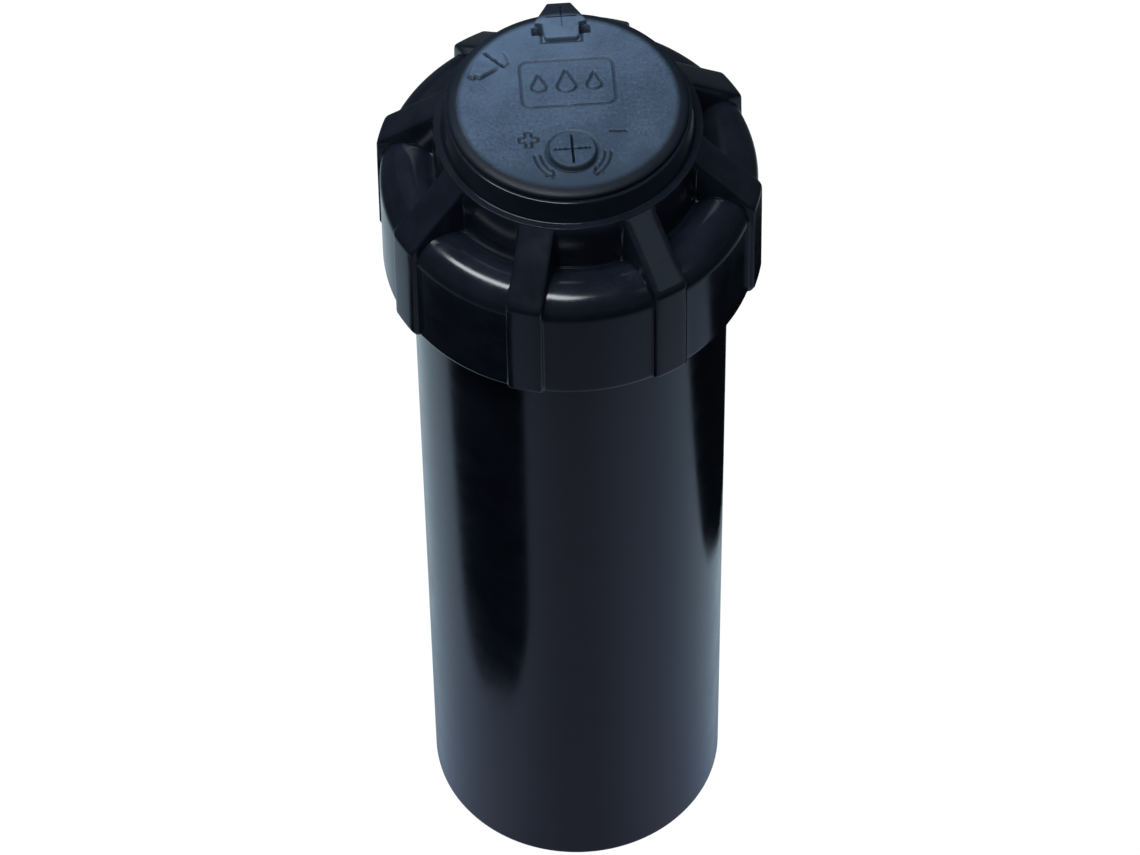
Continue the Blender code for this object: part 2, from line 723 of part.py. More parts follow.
def make_stator(parent, plastic):
    plate_top = STATOR_Z + STATOR_PLATE
    ledge_z = STATOR_Z + STATOR_LEDGE
    wall_top = STATOR_Z + STATOR_WALL_HEIGHT
    wall_r = INNER_R - STATOR_WALL
    ledge_r = wall_r - 1.3
    outline = [
        (VALVE_PORT_R, STATOR_Z),
        (INNER_R, STATOR_Z),
        (INNER_R, wall_top),
        (wall_r, wall_top),
        (wall_r, ledge_z),
        (ledge_r, ledge_z),
        (ledge_r, plate_top),
        (VALVE_PORT_R, plate_top),
    ]
    stator = turned("stator", outline, plastic, parent)
    guide = []
    half_turn = math.degrees(math.asin(SPOKE_WIDTH / 2 / VALVE_GUIDE_R))
    for heading in round_about(3, 30.0):
        end_r = VALVE_PORT_R + 1.0
        end_turn = math.degrees(math.asin(SPOKE_WIDTH / 2 / end_r))
        guide.append(polar(VALVE_GUIDE_R, heading - half_turn))
        guide.append(polar(end_r, heading - end_turn))
        guide.append(polar(end_r, heading + end_turn))
        guide.append(polar(VALVE_GUIDE_R, heading + half_turn))
        guide.append(polar(VALVE_GUIDE_R, heading + 60.0))
    low = STATOR_Z + 0.2
    join(stator, prism("valve_guide", guide, low, low + VALVE_GUIDE_LENGTH, plastic, parent))
    guide_r = VALVE_STEM_R + GAP
    cut(stator, rod("guide_bore", guide_r, STATOR_Z - 1, STATOR_Z + 4, plastic, parent))
    port_ring = (VALVE_PORT_R + ledge_r) / 2
    for index, heading in enumerate(round_about(STATOR_PORTS, 4.0)):
        at = polar(port_ring, heading)
        low, high = STATOR_Z - 1, plate_top + 1
        port = rod(f"port_{index}", STATOR_PORT_R, low, high, plastic, parent, at, 10)
        cut(stator, port)
    relief_depth = 2 * (INNER_R + 0.5 - TRIP_AT + RELIEF_ROOM)
    relief = (RELIEF_WIDTH, relief_depth, wall_top - ledge_z + 2.5)
    centre = (0.0, -(INNER_R + 0.5), ledge_z + relief[2] / 2 - 0.5)
    cut(stator, block("trip_rod_relief", relief, centre, plastic, parent))
    return stator


def make_valve(parent, plastic, steel):
    disc_r = VALVE_PORT_R + VALVE_LAP
    collar_top = STATOR_Z - GAP - VALVE_SPRING_LENGTH - 0.1
    collar_low = collar_top - VALVE_COLLAR_THICKNESS
    outline = [
        (0.0, collar_low),
        (VALVE_COLLAR_R, collar_low),
        (VALVE_COLLAR_R, collar_top),
        (VALVE_STEM_R, collar_top),
        (VALVE_STEM_R, VALVE_Z),
        (disc_r, VALVE_Z),
        (disc_r - 0.4, VALVE_Z + VALVE_DISC),
        (0.0, VALVE_Z + VALVE_DISC),
    ]
    turned("bypass_valve", outline, plastic, parent, SMALL_SEGMENTS)
    low = collar_top + 0.2 + VALVE_SPRING_WIRE / 2
    high = STATOR_Z - 0.2 - VALVE_SPRING_WIRE / 2
    coil_r = VALVE_STEM_R + 0.5 + VALVE_SPRING_WIRE
    coil("bypass_spring", coil_r, VALVE_SPRING_WIRE, VALVE_SPRING_TURNS, low, high, steel,
         parent)


def make_shift_plate(parent, plastic):
    """The plate that turns a little to send the water to either side of the turbine."""
    high = SHIFT_Z + SHIFT_PLATE
    outline = [
        (SHIFT_HOLE_R, SHIFT_Z),
        (SHIFT_R, SHIFT_Z),
        (SHIFT_R, high),
        (SHIFT_HOLE_R, high),
    ]
    plate = turned("reversing_plate", outline, plastic, parent)
    for index, heading in enumerate(round_about(8, -45.0)[:7]):
        x, y = polar((SHIFT_HOLE_R + SHIFT_R) / 2, heading)
        size = (SHIFT_R - SHIFT_HOLE_R - 3.2, 2.6, SHIFT_PLATE + 2.0)
        centre = (x, y, SHIFT_Z + SHIFT_PLATE / 2)
        cut(plate, block(f"jet_{index}", size, centre, plastic, parent, heading))
    deep = TRIP_AT - TRIP_ARM - 1.0
    wide = SHIFT_R + 1.0
    notch = [(-1.5, -deep), (-4.2, -wide), (4.2, -wide), (1.5, -deep)]
    cut(plate, prism("arm_notch", notch, SHIFT_Z - 1, high + 1, plastic, parent))


def make_trip_rod(parent, steel):
    """The upright rod: its lower arm moves the reversing plate, its lever meets the tabs."""
    top = TRIP_LEVER_Z + TRIP_ARM_THICKNESS
    piece = rod("trip_rod", TRIP_ROD_R, TRIP_ARM_Z - 0.2, top - 0.1, steel, parent, segments=10)
    arms = ((TRIP_ARM_Z, TRIP_ARM), (TRIP_LEVER_Z, TRIP_LEVER))
    for index, (z, reach) in enumerate(arms):
        size = (TRIP_ARM_WIDTH, reach + TRIP_ARM_WIDTH / 2, TRIP_ARM_THICKNESS)
        middle = (reach - TRIP_ARM_WIDTH / 2) / 2
        centre = (0.0, middle, z + TRIP_ARM_THICKNESS / 2)
        join(piece, block(f"trip_arm_{index}", size, centre, steel, parent))


# --- Turbine and gear train -----------------------------------------------------------------
def blade(name, heading, low, high, material, parent):
    """A flat blade that leans to one side as it rises."""
    spin = Matrix.Rotation(math.radians(heading), 2)
    points = []
    for z, lean in ((low, -BLADE_SWEEP), (high, BLADE_SWEEP)):
        for along in (TURBINE_HUB_R - 1.0, TURBINE_R):
            for side in (-BLADE_THICKNESS / 2, BLADE_THICKNESS / 2):
                x, y = spin @ Vector((along, lean + side))
                points.append((x, y, z))
    faces = [(0, 1, 3, 2), (4, 5, 7, 6), (0, 1, 5, 4), (2, 3, 7, 6), (0, 2, 6, 4), (1, 3, 7, 5)]
    return solid(name, points, faces, material, parent)


def make_turbine(parent, plastic, steel):
    low = SHIFT_Z + SHIFT_PLATE + 2.5
    high = low + TURBINE_LENGTH
    wheel = rod("turbine_wheel", TURBINE_HUB_R, low, high, plastic, parent)
    for index, heading in enumerate(round_about(TURBINE_BLADES)):
        join(wheel, blade(f"blade_{index}", heading, low + 0.2, high - 0.2, plastic, parent))
    bore = rod("turbine_bore", SHAFT_R + RUN, low - 1, high + 1, plastic, parent, segments=12)
    cut(wheel, bore)
    rod("turbine_shaft", SHAFT_R, low - 1.8, SHAFT_TOP, steel, parent, segments=10)

    pinion_z = CASE_INSIDE_Z + BUSH_LENGTH - CASE_FLOOR + 1.4
    pinion_top = FIRST_WHEEL_Z + WHEEL_THICKNESS + 0.6
    outline = gear_outline(PINION_TEETH, 0)
    pinion = prism("turbine_pinion", outline, pinion_z, pinion_top, plastic, parent)
    bore = rod("pinion_bore", SHAFT_R + RUN, pinion_z - 1, pinion_top + 1, plastic, parent,
               segments=12)
    cut(pinion, bore)


def make_cluster(number, parent, plastic):
    """A wheel with the pinion above it, moulded as one gear that turns freely on its shaft."""
    wheel_z = FIRST_WHEEL_Z + (number - 1) * WHEEL_STEP
    wheel_top = wheel_z + WHEEL_THICKNESS
    wheel = gear_outline(WHEEL_TEETH, 1)
    gear = prism(f"gear_cluster_{number}", wheel, wheel_z, wheel_top, plastic, parent)
    top = wheel_top + PINION_LENGTH - (0.4 if number < 3 else 0.0)
    pinion = gear_outline(PINION_TEETH, 0)
    name = f"cluster_pinion_{number}"
    join(gear, prism(name, pinion, wheel_top - 0.5, top, plastic, parent))
    if number == 1:
        foot_r = PINION_R - TOOTH_DEDENDUM * MODULE + 0.4
        foot = CASE_INSIDE_Z + GAP
        join(gear, rod("cluster_foot", foot_r, foot, wheel_z + 0.5, plastic, parent))
    name = f"cluster_bore_{number}"
    low = CASE_INSIDE_Z
    cut(gear, rod(name, SHAFT_R + RUN, low, top + 1, plastic, parent, segments=12))
    return gear


def make_gearcase(parent, plastic, brass, rubber, steel):
    outline = [
        (0.0, CASE_FLOOR_Z),
        (CASE_R, CASE_FLOOR_Z),
        (CASE_R, CASE_TOP),
        (CASE_BORE_R, CASE_TOP),
        (CASE_BORE_R, CASE_INSIDE_Z),
        (0.0, CASE_INSIDE_Z),
    ]
    case = turned("gearcase", outline, plastic, parent)
    fin_length = INNER_R - CASE_R + 0.6
    for index, heading in enumerate(round_about(CASE_FINS, 90.0)):
        x, y = polar(INNER_R - fin_length / 2, heading)
        centre = (x, y, CASE_FLOOR_Z + 3.0 + FIN_HEIGHT / 2)
        size = (fin_length, FIN_THICKNESS, FIN_HEIGHT)
        join(case, block(f"fin_{index}", size, centre, plastic, parent, heading))
    bush_r = SHAFT_R + RUN + BUSH_WALL
    low, high = CASE_FLOOR_Z - 1, CASE_INSIDE_Z + 1
    cut(case, rod("bush_seat", bush_r + GAP, low, high, plastic, parent))
    spindle_foot = CASE_FLOOR_Z + 0.6
    seat = rod("spindle_seat", SHAFT_R + RUN, spindle_foot - GAP, high, plastic, parent,
               (SHAFT_SPACING, 0.0), 12)
    cut(case, seat)

    bush_low = CASE_FLOOR_Z - 0.8
    outline = [
        (SHAFT_R + RUN, bush_low),
        (bush_r, bush_low),
        (bush_r, bush_low + BUSH_LENGTH),
        (SHAFT_R + RUN, bush_low + BUSH_LENGTH),
    ]
    turned("turbine_bush", outline, brass, parent, 12)
    rod("gear_spindle", SHAFT_R, spindle_foot, SHAFT_TOP, steel, parent,
        (SHAFT_SPACING, 0.0), 10)

    seal_r = TUBE_R + 2.2
    seal_low = LID_Z + 1.4
    outline = [
        (TUBE_R + GAP, LID_Z),
        (CASE_R, LID_Z),
        (CASE_R, LID_TOP),
        (seal_r + GAP, LID_TOP),
        (seal_r + GAP, seal_low),
        (TUBE_R + GAP, seal_low),
    ]
    turned("gearcase_lid", outline, plastic, parent)
    outline = [
        (TUBE_R + 0.25, seal_low + GAP),
        (seal_r, seal_low + GAP),
        (seal_r, LID_TOP),
        (TUBE_R + 0.6, LID_TOP),
    ]
    turned("output_seal", outline, rubber, parent)


def make_output_gear(parent, plastic):
    """The internal ring gear, its cup and the tube that carries water to the turret."""
    cup_r = RING_R + TOOTH_DEDENDUM * MODULE + CUP_WALL
    tube_bore = TUBE_R - TUBE_WALL
    shoulder_z = ARC_Z - GAP - ARC_SHOULDER_THICKNESS
    outline = [
        (SHAFT_R + 2.0, RING_Z),
        (cup_r, RING_Z),
        (cup_r, CUP_TOP),
        (TUBE_R, CUP_TOP),
        (TUBE_R, shoulder_z),
        (ARC_SHOULDER_R, shoulder_z),
        (ARC_SHOULDER_R, shoulder_z + ARC_SHOULDER_THICKNESS),
        (TUBE_R, shoulder_z + ARC_SHOULDER_THICKNESS),
        (TUBE_R, TUBE_TOP),
        (tube_bore, TUBE_TOP),
        (tube_bore, CUP_PLATE_Z + 1.4),
        (0.0, CUP_PLATE_Z + 1.4),
        (0.0, CUP_PLATE_Z),
        (SHAFT_R + 2.0, CUP_PLATE_Z),
    ]
    outline = outline[12:] + outline[:12]
    gear = turned("output_gear", outline, plastic, parent)
    teeth = gear_outline(RING_TEETH, 1, internal=True)
    cut(gear, prism("ring_teeth", teeth, RING_Z - 1, CUP_PLATE_Z - 0.05, plastic, parent))
    window_z = LID_TOP + 0.8 + TUBE_WINDOW_HEIGHT / 2
    for index, heading in enumerate(round_about(TUBE_WINDOWS // 2, 45.0)):
        size = (2 * TUBE_R + 4.0, TUBE_WINDOW_WIDTH, TUBE_WINDOW_HEIGHT)
        centre = (0.0, 0.0, window_z)
        cut(gear, block(f"tube_window_{index}", size, centre, plastic, parent, heading / 2))
    return gear


# --- Turret ---------------------------------------------------------------------------------
def nozzle_point(along):
    """A point on the nozzle's tilted axis."""
    tilt = math.radians(NOZZLE_TILT)
    return Vector((0.0, along * math.cos(tilt), NOZZLE_AXIS_Z + along * math.sin(tilt)))


def along_nozzle(name, outline, material, parent, segments=SMALL_SEGMENTS):
    """A turned piece whose (radius, distance) outline runs along the nozzle's axis."""
    piece = turned(name, outline, material, parent, segments)
    tilt = Matrix.Rotation(math.radians(NOZZLE_TILT - 90.0), 4, "X")
    piece.data.transform(Matrix.Translation(nozzle_point(0.0) * MM) @ tilt)
    return piece


def make_turret(parent, plastic, nozzle_plastic):
    housing = rod("turret_housing", STEM_R, TURRET_Z, TURRET_TOP, plastic, parent,
                  segments=SEGMENTS)
    hub_r = TUBE_R + GAP + HUB_WALL
    inside_r = STEM_R - TURRET_WALL
    inside_z = TURRET_Z + TURRET_FLOOR
    cavity = rod("turret_cavity", inside_r, inside_z, TURRET_TOP + 1, plastic, parent,
                 segments=SEGMENTS)
    seat_wall = NOZZLE_SEAT_R + NOZZLE_SEAT_WALL
    seat_end = STEM_R / math.cos(math.radians(NOZZLE_TILT)) + 4
    barrel = [(0.0, -1.0), (seat_wall, -1.0), (seat_wall, seat_end), (0.0, seat_end)]
    arc_at = (0.0, -ARC_SCREW_AT)
    radius_at = (0.0, RADIUS_SCREW_AT)
    cut(cavity, rod("hub_post", hub_r, inside_z - 1, NOZZLE_AXIS_Z + 8.6, plastic, parent))
    cut(cavity, along_nozzle("nozzle_barrel", barrel, plastic, parent))
    arc_post_r = ARC_SCREW_R + 1.9
    cut(cavity, rod("arc_post", arc_post_r, inside_z - 1, inside_z + 9, plastic, parent, arc_at))
    screw_z = NOZZLE_AXIS_Z + 8
    post_r = RADIUS_SCREW_R + 1.7
    cut(cavity, rod("radius_post", post_r, screw_z, TURRET_TOP + 2, plastic, parent, radius_at))
    cut(housing, cavity)

    socket_top = TUBE_TOP + GAP
    cut(housing, rod("tube_socket", TUBE_R + GAP, TURRET_Z - 1, socket_top, plastic, parent))
    passage_top = NOZZLE_AXIS_Z + 3.0
    cut(housing, rod("passage", PASSAGE_R, socket_top - 1, passage_top, plastic, parent))
    end = seat_end + 4
    seat = [(0.0, -0.4), (NOZZLE_SEAT_R, -0.4), (NOZZLE_SEAT_R, end), (0.0, end)]
    cut(housing, along_nozzle("nozzle_seat", seat, plastic, parent))
    arc_bore_r = ARC_SCREW_R + RUN
    cut(housing, rod("arc_bore", arc_bore_r, TURRET_Z - 1, inside_z + 12, plastic, parent,
                     arc_at, 16))
    radius_bore_r = RADIUS_SCREW_R + RUN
    low = nozzle_point(RADIUS_SCREW_AT).z
    cut(housing, rod("radius_bore", radius_bore_r, low, TURRET_TOP + 1, plastic, parent,
                     radius_at, 12))

    tab_low = ARC_Z - TAB_DROP
    tab_r = ARC_R + TIP + GAP
    size = (TAB_WIDTH, FIXED_TAB_DEPTH, TURRET_Z - tab_low + 0.5)
    centre = (0.0, tab_r + size[1] / 2, tab_low + size[2] / 2)
    join(housing, block("fixed_tab", size, centre, plastic, parent))

    lid = rod("turret_lid", STEM_R, TURRET_LID_Z, TURRET_LID_TOP, plastic, parent,
              segments=SEGMENTS)
    low, high = TURRET_LID_Z - 1, TURRET_LID_TOP + 1
    cut(lid, rod("arc_access", arc_bore_r, low, high, plastic, parent, arc_at, 16))
    cut(lid, rod("radius_access", radius_bore_r, low, high, plastic, parent, radius_at, 12))
    size = (KEY_SLOT_LENGTH, KEY_SLOT_WIDTH, high - low)
    centre = (*KEY_SLOT_AT, (low + high) / 2)
    cut(lid, block("key_slot", size, centre, plastic, parent, KEY_SLOT_TURN))

    outer = NOZZLE_SEAT_R - GAP
    outline = [
        (NOZZLE_THROAT_R, NOZZLE_START),
        (outer, NOZZLE_START),
        (outer, NOZZLE_MOUTH),
        (NOZZLE_MOUTH_R + 1.2, NOZZLE_MOUTH),
        (NOZZLE_MOUTH_R + 0.6, NOZZLE_MOUTH - 1.2),
        (NOZZLE_MOUTH_R, NOZZLE_MOUTH - 1.2),
        (NOZZLE_MOUTH_R, NOZZLE_MOUTH - 3.0),
    ]
    along_nozzle("nozzle", outline, nozzle_plastic, parent)


def hex_socket(name, top, material, parent):
    low = top - SOCKET_DEPTH
    return rod(name, SOCKET_R, low, top + 1, material, parent, segments=6)


def make_radius_screw(parent, steel):
    low = RADIUS_SCREW_TOP - RADIUS_SCREW_LENGTH
    outline = [
        (0.0, low),
        (RADIUS_SCREW_R - 0.5, low),
        (RADIUS_SCREW_R, low + 0.6),
        (RADIUS_SCREW_R, RADIUS_SCREW_TOP),
        (0.0, RADIUS_SCREW_TOP),
    ]
    screw = turned("radius_screw", outline, steel, parent, 12)
    cut(screw, hex_socket("radius_socket", RADIUS_SCREW_TOP, steel, parent))


def make_arc_screw(parent, plastic):
    top = TURRET_LID_TOP - ARC_SCREW_HEAD_DEPTH
    pinion_top = ARC_Z + ARC_RING_THICKNESS + 0.5
    screw = rod("arc_screw", ARC_SCREW_R, pinion_top - 0.5, top, plastic, parent, segments=16)
    pinion = gear_outline(PINION_TEETH, 0)
    join(screw, prism("arc_pinion", pinion, ARC_Z, pinion_top, plastic, parent))
    cut(screw, hex_socket("arc_socket", top, plastic, parent))


def make_arc_ring(parent, plastic):
    high = ARC_Z + ARC_RING_THICKNESS
    ring = prism("arc_ring", gear_outline(ARC_TEETH, 0), ARC_Z, high, plastic, parent)
    size = (TAB_WIDTH, ARC_TAB_DEPTH, TAB_DROP + 1.0)
    centre = (0.0, ARC_TAB_R - size[1] / 2, ARC_Z + 1.0 - size[2] / 2)
    join(ring, block("arc_tab", size, centre, plastic, parent))
    bore_r = TUBE_R + GAP
    cut(ring, rod("arc_ring_bore", bore_r, ARC_Z - 1, high + 1, plastic, parent))


def rounded_rectangle(size, at, radius, steps=4):
    outline = []
    half_x, half_y = size[0] / 2 - radius, size[1] / 2 - radius
    corners = ((half_x, half_y, 0), (-half_x, half_y, 90), (-half_x, -half_y, 180),
               (half_x, -half_y, 270))
    for x, y, start in corners:
        for step in range(steps + 1):
            reach_x, reach_y = polar(radius, start + 90.0 * step / steps)
            outline.append((at[0] + x + reach_x, at[1] + y + reach_y))
    return outline


def make_cover(parent, rubber):
    """The rubber cover: a lipped disc with the raised arrow, boss, pad and plate."""
    lip_z = COVER_Z + COVER_PLUG
    lip_top = lip_z + COVER_LIP
    edge = COVER_EDGE * math.sqrt(0.5)
    outline = [
        (0.0, COVER_Z),
        (STEM_R, COVER_Z),
        (STEM_R, lip_z),
        (COVER_LIP_R, lip_z),
        (COVER_LIP_R, lip_top),
        (COVER_R, lip_top),
        (COVER_R, COVER_TOP - COVER_EDGE + 0.5),
        (COVER_R - COVER_EDGE + edge, COVER_TOP - COVER_EDGE + edge),
        (COVER_R - COVER_EDGE, COVER_TOP),
        (0.0, COVER_TOP),
    ]
    cover = turned("rubber_cover", outline, rubber, parent)
    inside = COVER_TOP - 0.5

    tip_y = COVER_R + TAB_OVERHANG
    head_y = tip_y - TAB_HEAD
    foot_y = tip_y - TAB_LENGTH
    half_tip, half_head, half_shaft = TAB_TIP_WIDTH / 2, TAB_HEAD_WIDTH / 2, TAB_SHAFT_WIDTH / 2
    arrow = [
        (half_tip, tip_y),
        (-half_tip, tip_y),
        (-half_head, head_y),
        (-half_shaft, head_y),
        (-half_shaft, foot_y),
        (half_shaft, foot_y),
        (half_shaft, head_y),
        (half_head, head_y),
    ]
    top = COVER_TOP + TAB_RISE
    join(cover, prism("arrow_tab", arrow, inside, top, rubber, parent))
    boss_at = (0.0, -ARC_SCREW_AT)
    join(cover, rod("arc_boss", BOSS_R, inside, COVER_TOP + BOSS_RISE, rubber, parent, boss_at))
    plate = rounded_rectangle(PLATE_SIZE, PLATE_AT, PLATE_ROUND)
    join(cover, prism("plate", plate, inside, COVER_TOP + PLATE_RISE, rubber, parent))
    pad = [
        (-16.2, 5.0),
        (-14.4, 5.4),
        (-12.1, 6.2),
        (-9.8, 7.9),
        (-9.7, 9.7),
        (-9.0, 12.6),
        (-12.4, 14.4),
        (-15.8, 11.0),
        (-17.2, 8.0),
    ]
    pad_top = COVER_TOP + PAD_RISE
    join(cover, prism("pull_up_pad", pad, inside, pad_top, rubber, parent))


def build():
    clear_scene()
    black = finish("black_abs", (0.012, 0.012, 0.013), 0.28)
    acetal = finish("white_acetal", (0.82, 0.81, 0.77), 0.42)
    grey = finish("grey_plastic", (0.30, 0.31, 0.33), 0.45)
    blue = finish("blue_nozzle", (0.03, 0.12, 0.45), 0.35)
    rubber = finish("cover_rubber", (0.060, 0.075, 0.085), 0.62)
    seal_rubber = finish("seal_rubber", (0.020, 0.020, 0.021), 0.70)
    steel = finish("stainless_steel", (0.62, 0.61, 0.59), 0.28, 1.0)
    brass = finish("brass", (0.78, 0.57, 0.25), 0.30, 1.0)

    housing = empty("fixed_housing")
    carriage = empty("riser_slide_axis")
    riser = empty("riser_axis", parent=carriage)
    turret = empty("turret_axis", turn=NOZZLE_HEADING, parent=riser)
    output = empty("output_axis", parent=riser)
    spindle = empty("gear_spindle_axis", (SHAFT_SPACING, 0.0, 0.0), parent=riser)
    trip = empty("trip_rod_axis", (0.0, -TRIP_AT, 0.0), parent=riser)
    arc = empty("arc_screw_axis", (0.0, -ARC_SCREW_AT, 0.0), parent=turret)
    radius = empty("radius_screw_axis", (0.0, RADIUS_SCREW_AT, 0.0), parent=turret)

    make_can(housing, black)
    make_cap(housing, black)
    make_seal(housing, seal_rubber, grey)
    coil("retraction_spring", SPRING_R, SPRING_WIRE, SPRING_TURNS,
         RATCHET_TOP + GAP + SPRING_WIRE / 2, SEAT_Z - SPRING_WIRE / 2, steel, housing)

    make_ratchet_ring(carriage, acetal)
    make_stem(riser, black)
    make_filter(riser, grey)
    make_stator(riser, acetal)
    make_valve(riser, acetal, steel)
    make_shift_plate(riser, acetal)
    make_trip_rod(trip, steel)
    make_turbine(riser, acetal, steel)
    for number in (1, 2, 3):
        make_cluster(number, spindle if number % 2 else riser, acetal)
    make_gearcase(riser, grey, brass, seal_rubber, steel)
    make_output_gear(output, acetal)

    washer_low = STEM_TOP + GAP
    washer = [
        (STEM_BORE_R + 0.4, washer_low),
        (STEM_R - 0.3, washer_low),
        (STEM_R - 0.3, washer_low + WASHER_THICKNESS),
        (STEM_BORE_R + 0.4, washer_low + WASHER_THICKNESS),
    ]
    turned("thrust_washer", washer, acetal, riser)
    make_turret(turret, black, blue)
    make_radius_screw(radius, steel)
    make_arc_screw(arc, acetal)
    make_arc_ring(turret, grey)
    make_cover(turret, rubber)


build()
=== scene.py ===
"""Pop-up sprinkler: moulded, turned and wound pieces with their finishes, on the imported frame.

Lengths in the outlines below are millimetres. +Z is the sprinkler's axis, and z = 0 is the
face the can stands on. The nozzle side of the cover points to +Y.
"""

import json
import math

import bmesh
import bpy
import numpy as np
from mathutils import Matrix, Vector

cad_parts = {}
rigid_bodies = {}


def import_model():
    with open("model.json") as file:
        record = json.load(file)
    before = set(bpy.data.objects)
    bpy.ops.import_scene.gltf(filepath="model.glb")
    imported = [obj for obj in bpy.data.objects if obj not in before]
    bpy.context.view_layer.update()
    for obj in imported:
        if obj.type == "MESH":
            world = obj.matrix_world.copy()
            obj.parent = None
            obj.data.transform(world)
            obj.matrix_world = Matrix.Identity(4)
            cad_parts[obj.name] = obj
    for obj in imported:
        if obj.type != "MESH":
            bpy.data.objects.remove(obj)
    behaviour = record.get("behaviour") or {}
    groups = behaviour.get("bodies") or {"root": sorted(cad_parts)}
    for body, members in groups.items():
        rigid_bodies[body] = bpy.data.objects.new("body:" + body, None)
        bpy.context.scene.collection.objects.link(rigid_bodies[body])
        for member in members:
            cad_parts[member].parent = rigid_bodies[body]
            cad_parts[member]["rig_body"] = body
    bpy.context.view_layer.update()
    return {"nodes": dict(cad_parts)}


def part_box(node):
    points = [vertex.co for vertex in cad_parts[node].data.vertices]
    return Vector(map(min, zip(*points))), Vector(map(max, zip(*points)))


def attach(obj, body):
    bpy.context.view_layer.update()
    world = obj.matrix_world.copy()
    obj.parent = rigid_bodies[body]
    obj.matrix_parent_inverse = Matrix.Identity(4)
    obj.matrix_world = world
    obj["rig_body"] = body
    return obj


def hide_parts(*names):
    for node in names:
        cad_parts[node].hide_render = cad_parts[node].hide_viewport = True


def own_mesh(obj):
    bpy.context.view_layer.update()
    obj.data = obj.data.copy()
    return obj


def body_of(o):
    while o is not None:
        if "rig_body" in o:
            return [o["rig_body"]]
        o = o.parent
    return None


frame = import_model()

bl_info = {
    "name": "Pop-up sprinkler",
    "version": (1, 0, 0),
    "blender": (4, 5, 0),
    "location": "3D View > Sidebar > Sprinkler",
    "description": "Builds the cap, can, rubber cover, riser and works of a pop-up sprinkler",
    "category": "Object",
}

MM = 0.001
TURRET_HEADING = 3.6         # degrees the turret stands turned at rest


def box_mm(node):
    """A node's lowest and highest corners in millimetres."""
    low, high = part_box(node)
    return [value / MM for value in low], [value / MM for value in high]


CAN_TOP = box_mm("body_can")[1][2]
CAP_LOW, CAP_TOP = (corner[2] for corner in box_mm("body_cap"))
COVER_LOW = box_mm("rubber_cover")[0][2]
STEM_LOW, STEM_TOP = (corner[2] for corner in box_mm("riser_stem"))
STEM_FLANGE_R = box_mm("riser_stem")[1][1]
SPRING_LOW, SPRING_TOP = (corner[2] for corner in box_mm("retraction_spring"))
BYPASS_LOW, BYPASS_TOP = (corner[2] for corner in box_mm("bypass_spring"))
FILTER_LOW, FILTER_TOP = (corner[2] for corner in box_mm("filter_screen"))


# --- Sizes and colours a user may change ------------------------------------------------
def length(name, description, millimetres):
    return bpy.props.FloatProperty(
        name=name, description=description, default=millimetres * MM, unit="LENGTH", precision=5
    )


def colour(name, description, value):
    return bpy.props.FloatVectorProperty(
        name=name, description=description, default=value, subtype="COLOR", min=0.0, max=1.0
    )


class SprinklerSizes(bpy.types.PropertyGroup):
    rib_width: length("Rib width", "Width of a grip rib on the cap", 6.5)
    rib_proud: length("Rib proud", "How far a grip rib stands out of the skirt", 1.1)
    rib_rounding: length("Rib rounding", "Rounding along a grip rib's edges", 0.55)
    shoulder_radius: length("Shoulder radius", "Radius of the cap's round shoulder", 5.4)
    thread_pitch: length("Thread pitch", "Pitch of the thread between can and cap", 4.0)
    pipe_pitch: length("Pipe thread pitch", "Pitch of the inlet's pipe thread", 1.814)
    slit_width: length("Slit width", "Width of the key slits in the rubber cover", 0.24)
    line_width: length("Line width", "Width of the sunk lines on the rubber cover", 0.40)
    strand: length("Filter strand", "Thickness of the filter's strands", 0.35)


class SprinklerColours(bpy.types.PropertyGroup):
    black: colour("Black plastic", "Glossy moulded can, cap and riser", (0.0032, 0.0042, 0.0072))
    rubber: colour("Cover rubber", "Slate rubber of the cover", (0.024, 0.037, 0.058))
    seal: colour("Seal rubber", "Rubber of the seals", (0.016, 0.016, 0.017))
    acetal: colour("Acetal", "White moulded gears and valve", (0.74, 0.73, 0.69))
    grey: colour("Grey plastic", "Gearcase, filter and arc ring", (0.25, 0.26, 0.28))
    nozzle: colour("Nozzle", "Blue nozzle", (0.02, 0.10, 0.42))
    steel: colour("Stainless steel", "Springs, shafts and screws", (0.56, 0.55, 0.53))
    brass: colour("Brass", "Turbine bush", (0.66, 0.44, 0.17))


def sizes():
    return bpy.context.scene.sprinkler_sizes


def colours():
    return bpy.context.scene.sprinkler_colours


# --- Shared shader groups -----------------------------------------------------------------
def shader_group(name, inputs, outputs):
    """A shader node group with its named sockets, and its input and output nodes."""
    group = bpy.data.node_groups.new(name, "ShaderNodeTree")
    for label, kind, value in inputs:
        socket = group.interface.new_socket(label, in_out="INPUT", socket_type=kind)
        if value is not None:
            socket.default_value = value
    for label, kind in outputs:
        group.interface.new_socket(label, in_out="OUTPUT", socket_type=kind)
    return group, group.nodes.new("NodeGroupInput"), group.nodes.new("NodeGroupOutput")


def add(tree, kind, links=(), **values):
    """Adds a node, sets its attributes and links sockets into its inputs."""
    node = tree.nodes.new(kind)
    for label, value in values.items():
        setattr(node, label, value)
    for socket, source in links:
        if hasattr(source, "is_output"):
            tree.links.new(source, node.inputs[socket])
        else:
            node.inputs[socket].default_value = source
    return node


def maths(tree, operation, first, second=0.0, clamp=False):
    node = add(tree, "ShaderNodeMath", [(0, first), (1, second)], operation=operation)
    node.use_clamp = clamp
    return node.outputs[0]


def spread(tree, value, low, high, new_low=0.0, new_high=1.0):
    """Maps low..high to new_low..new_high with soft ends."""
    links = [("Value", value), ("From Min", low), ("From Max", high)]
    links += [("To Min", new_low), ("To Max", new_high)]
    node = add(tree, "ShaderNodeMapRange", links, interpolation_type="SMOOTHSTEP")
    return node.outputs["Result"]


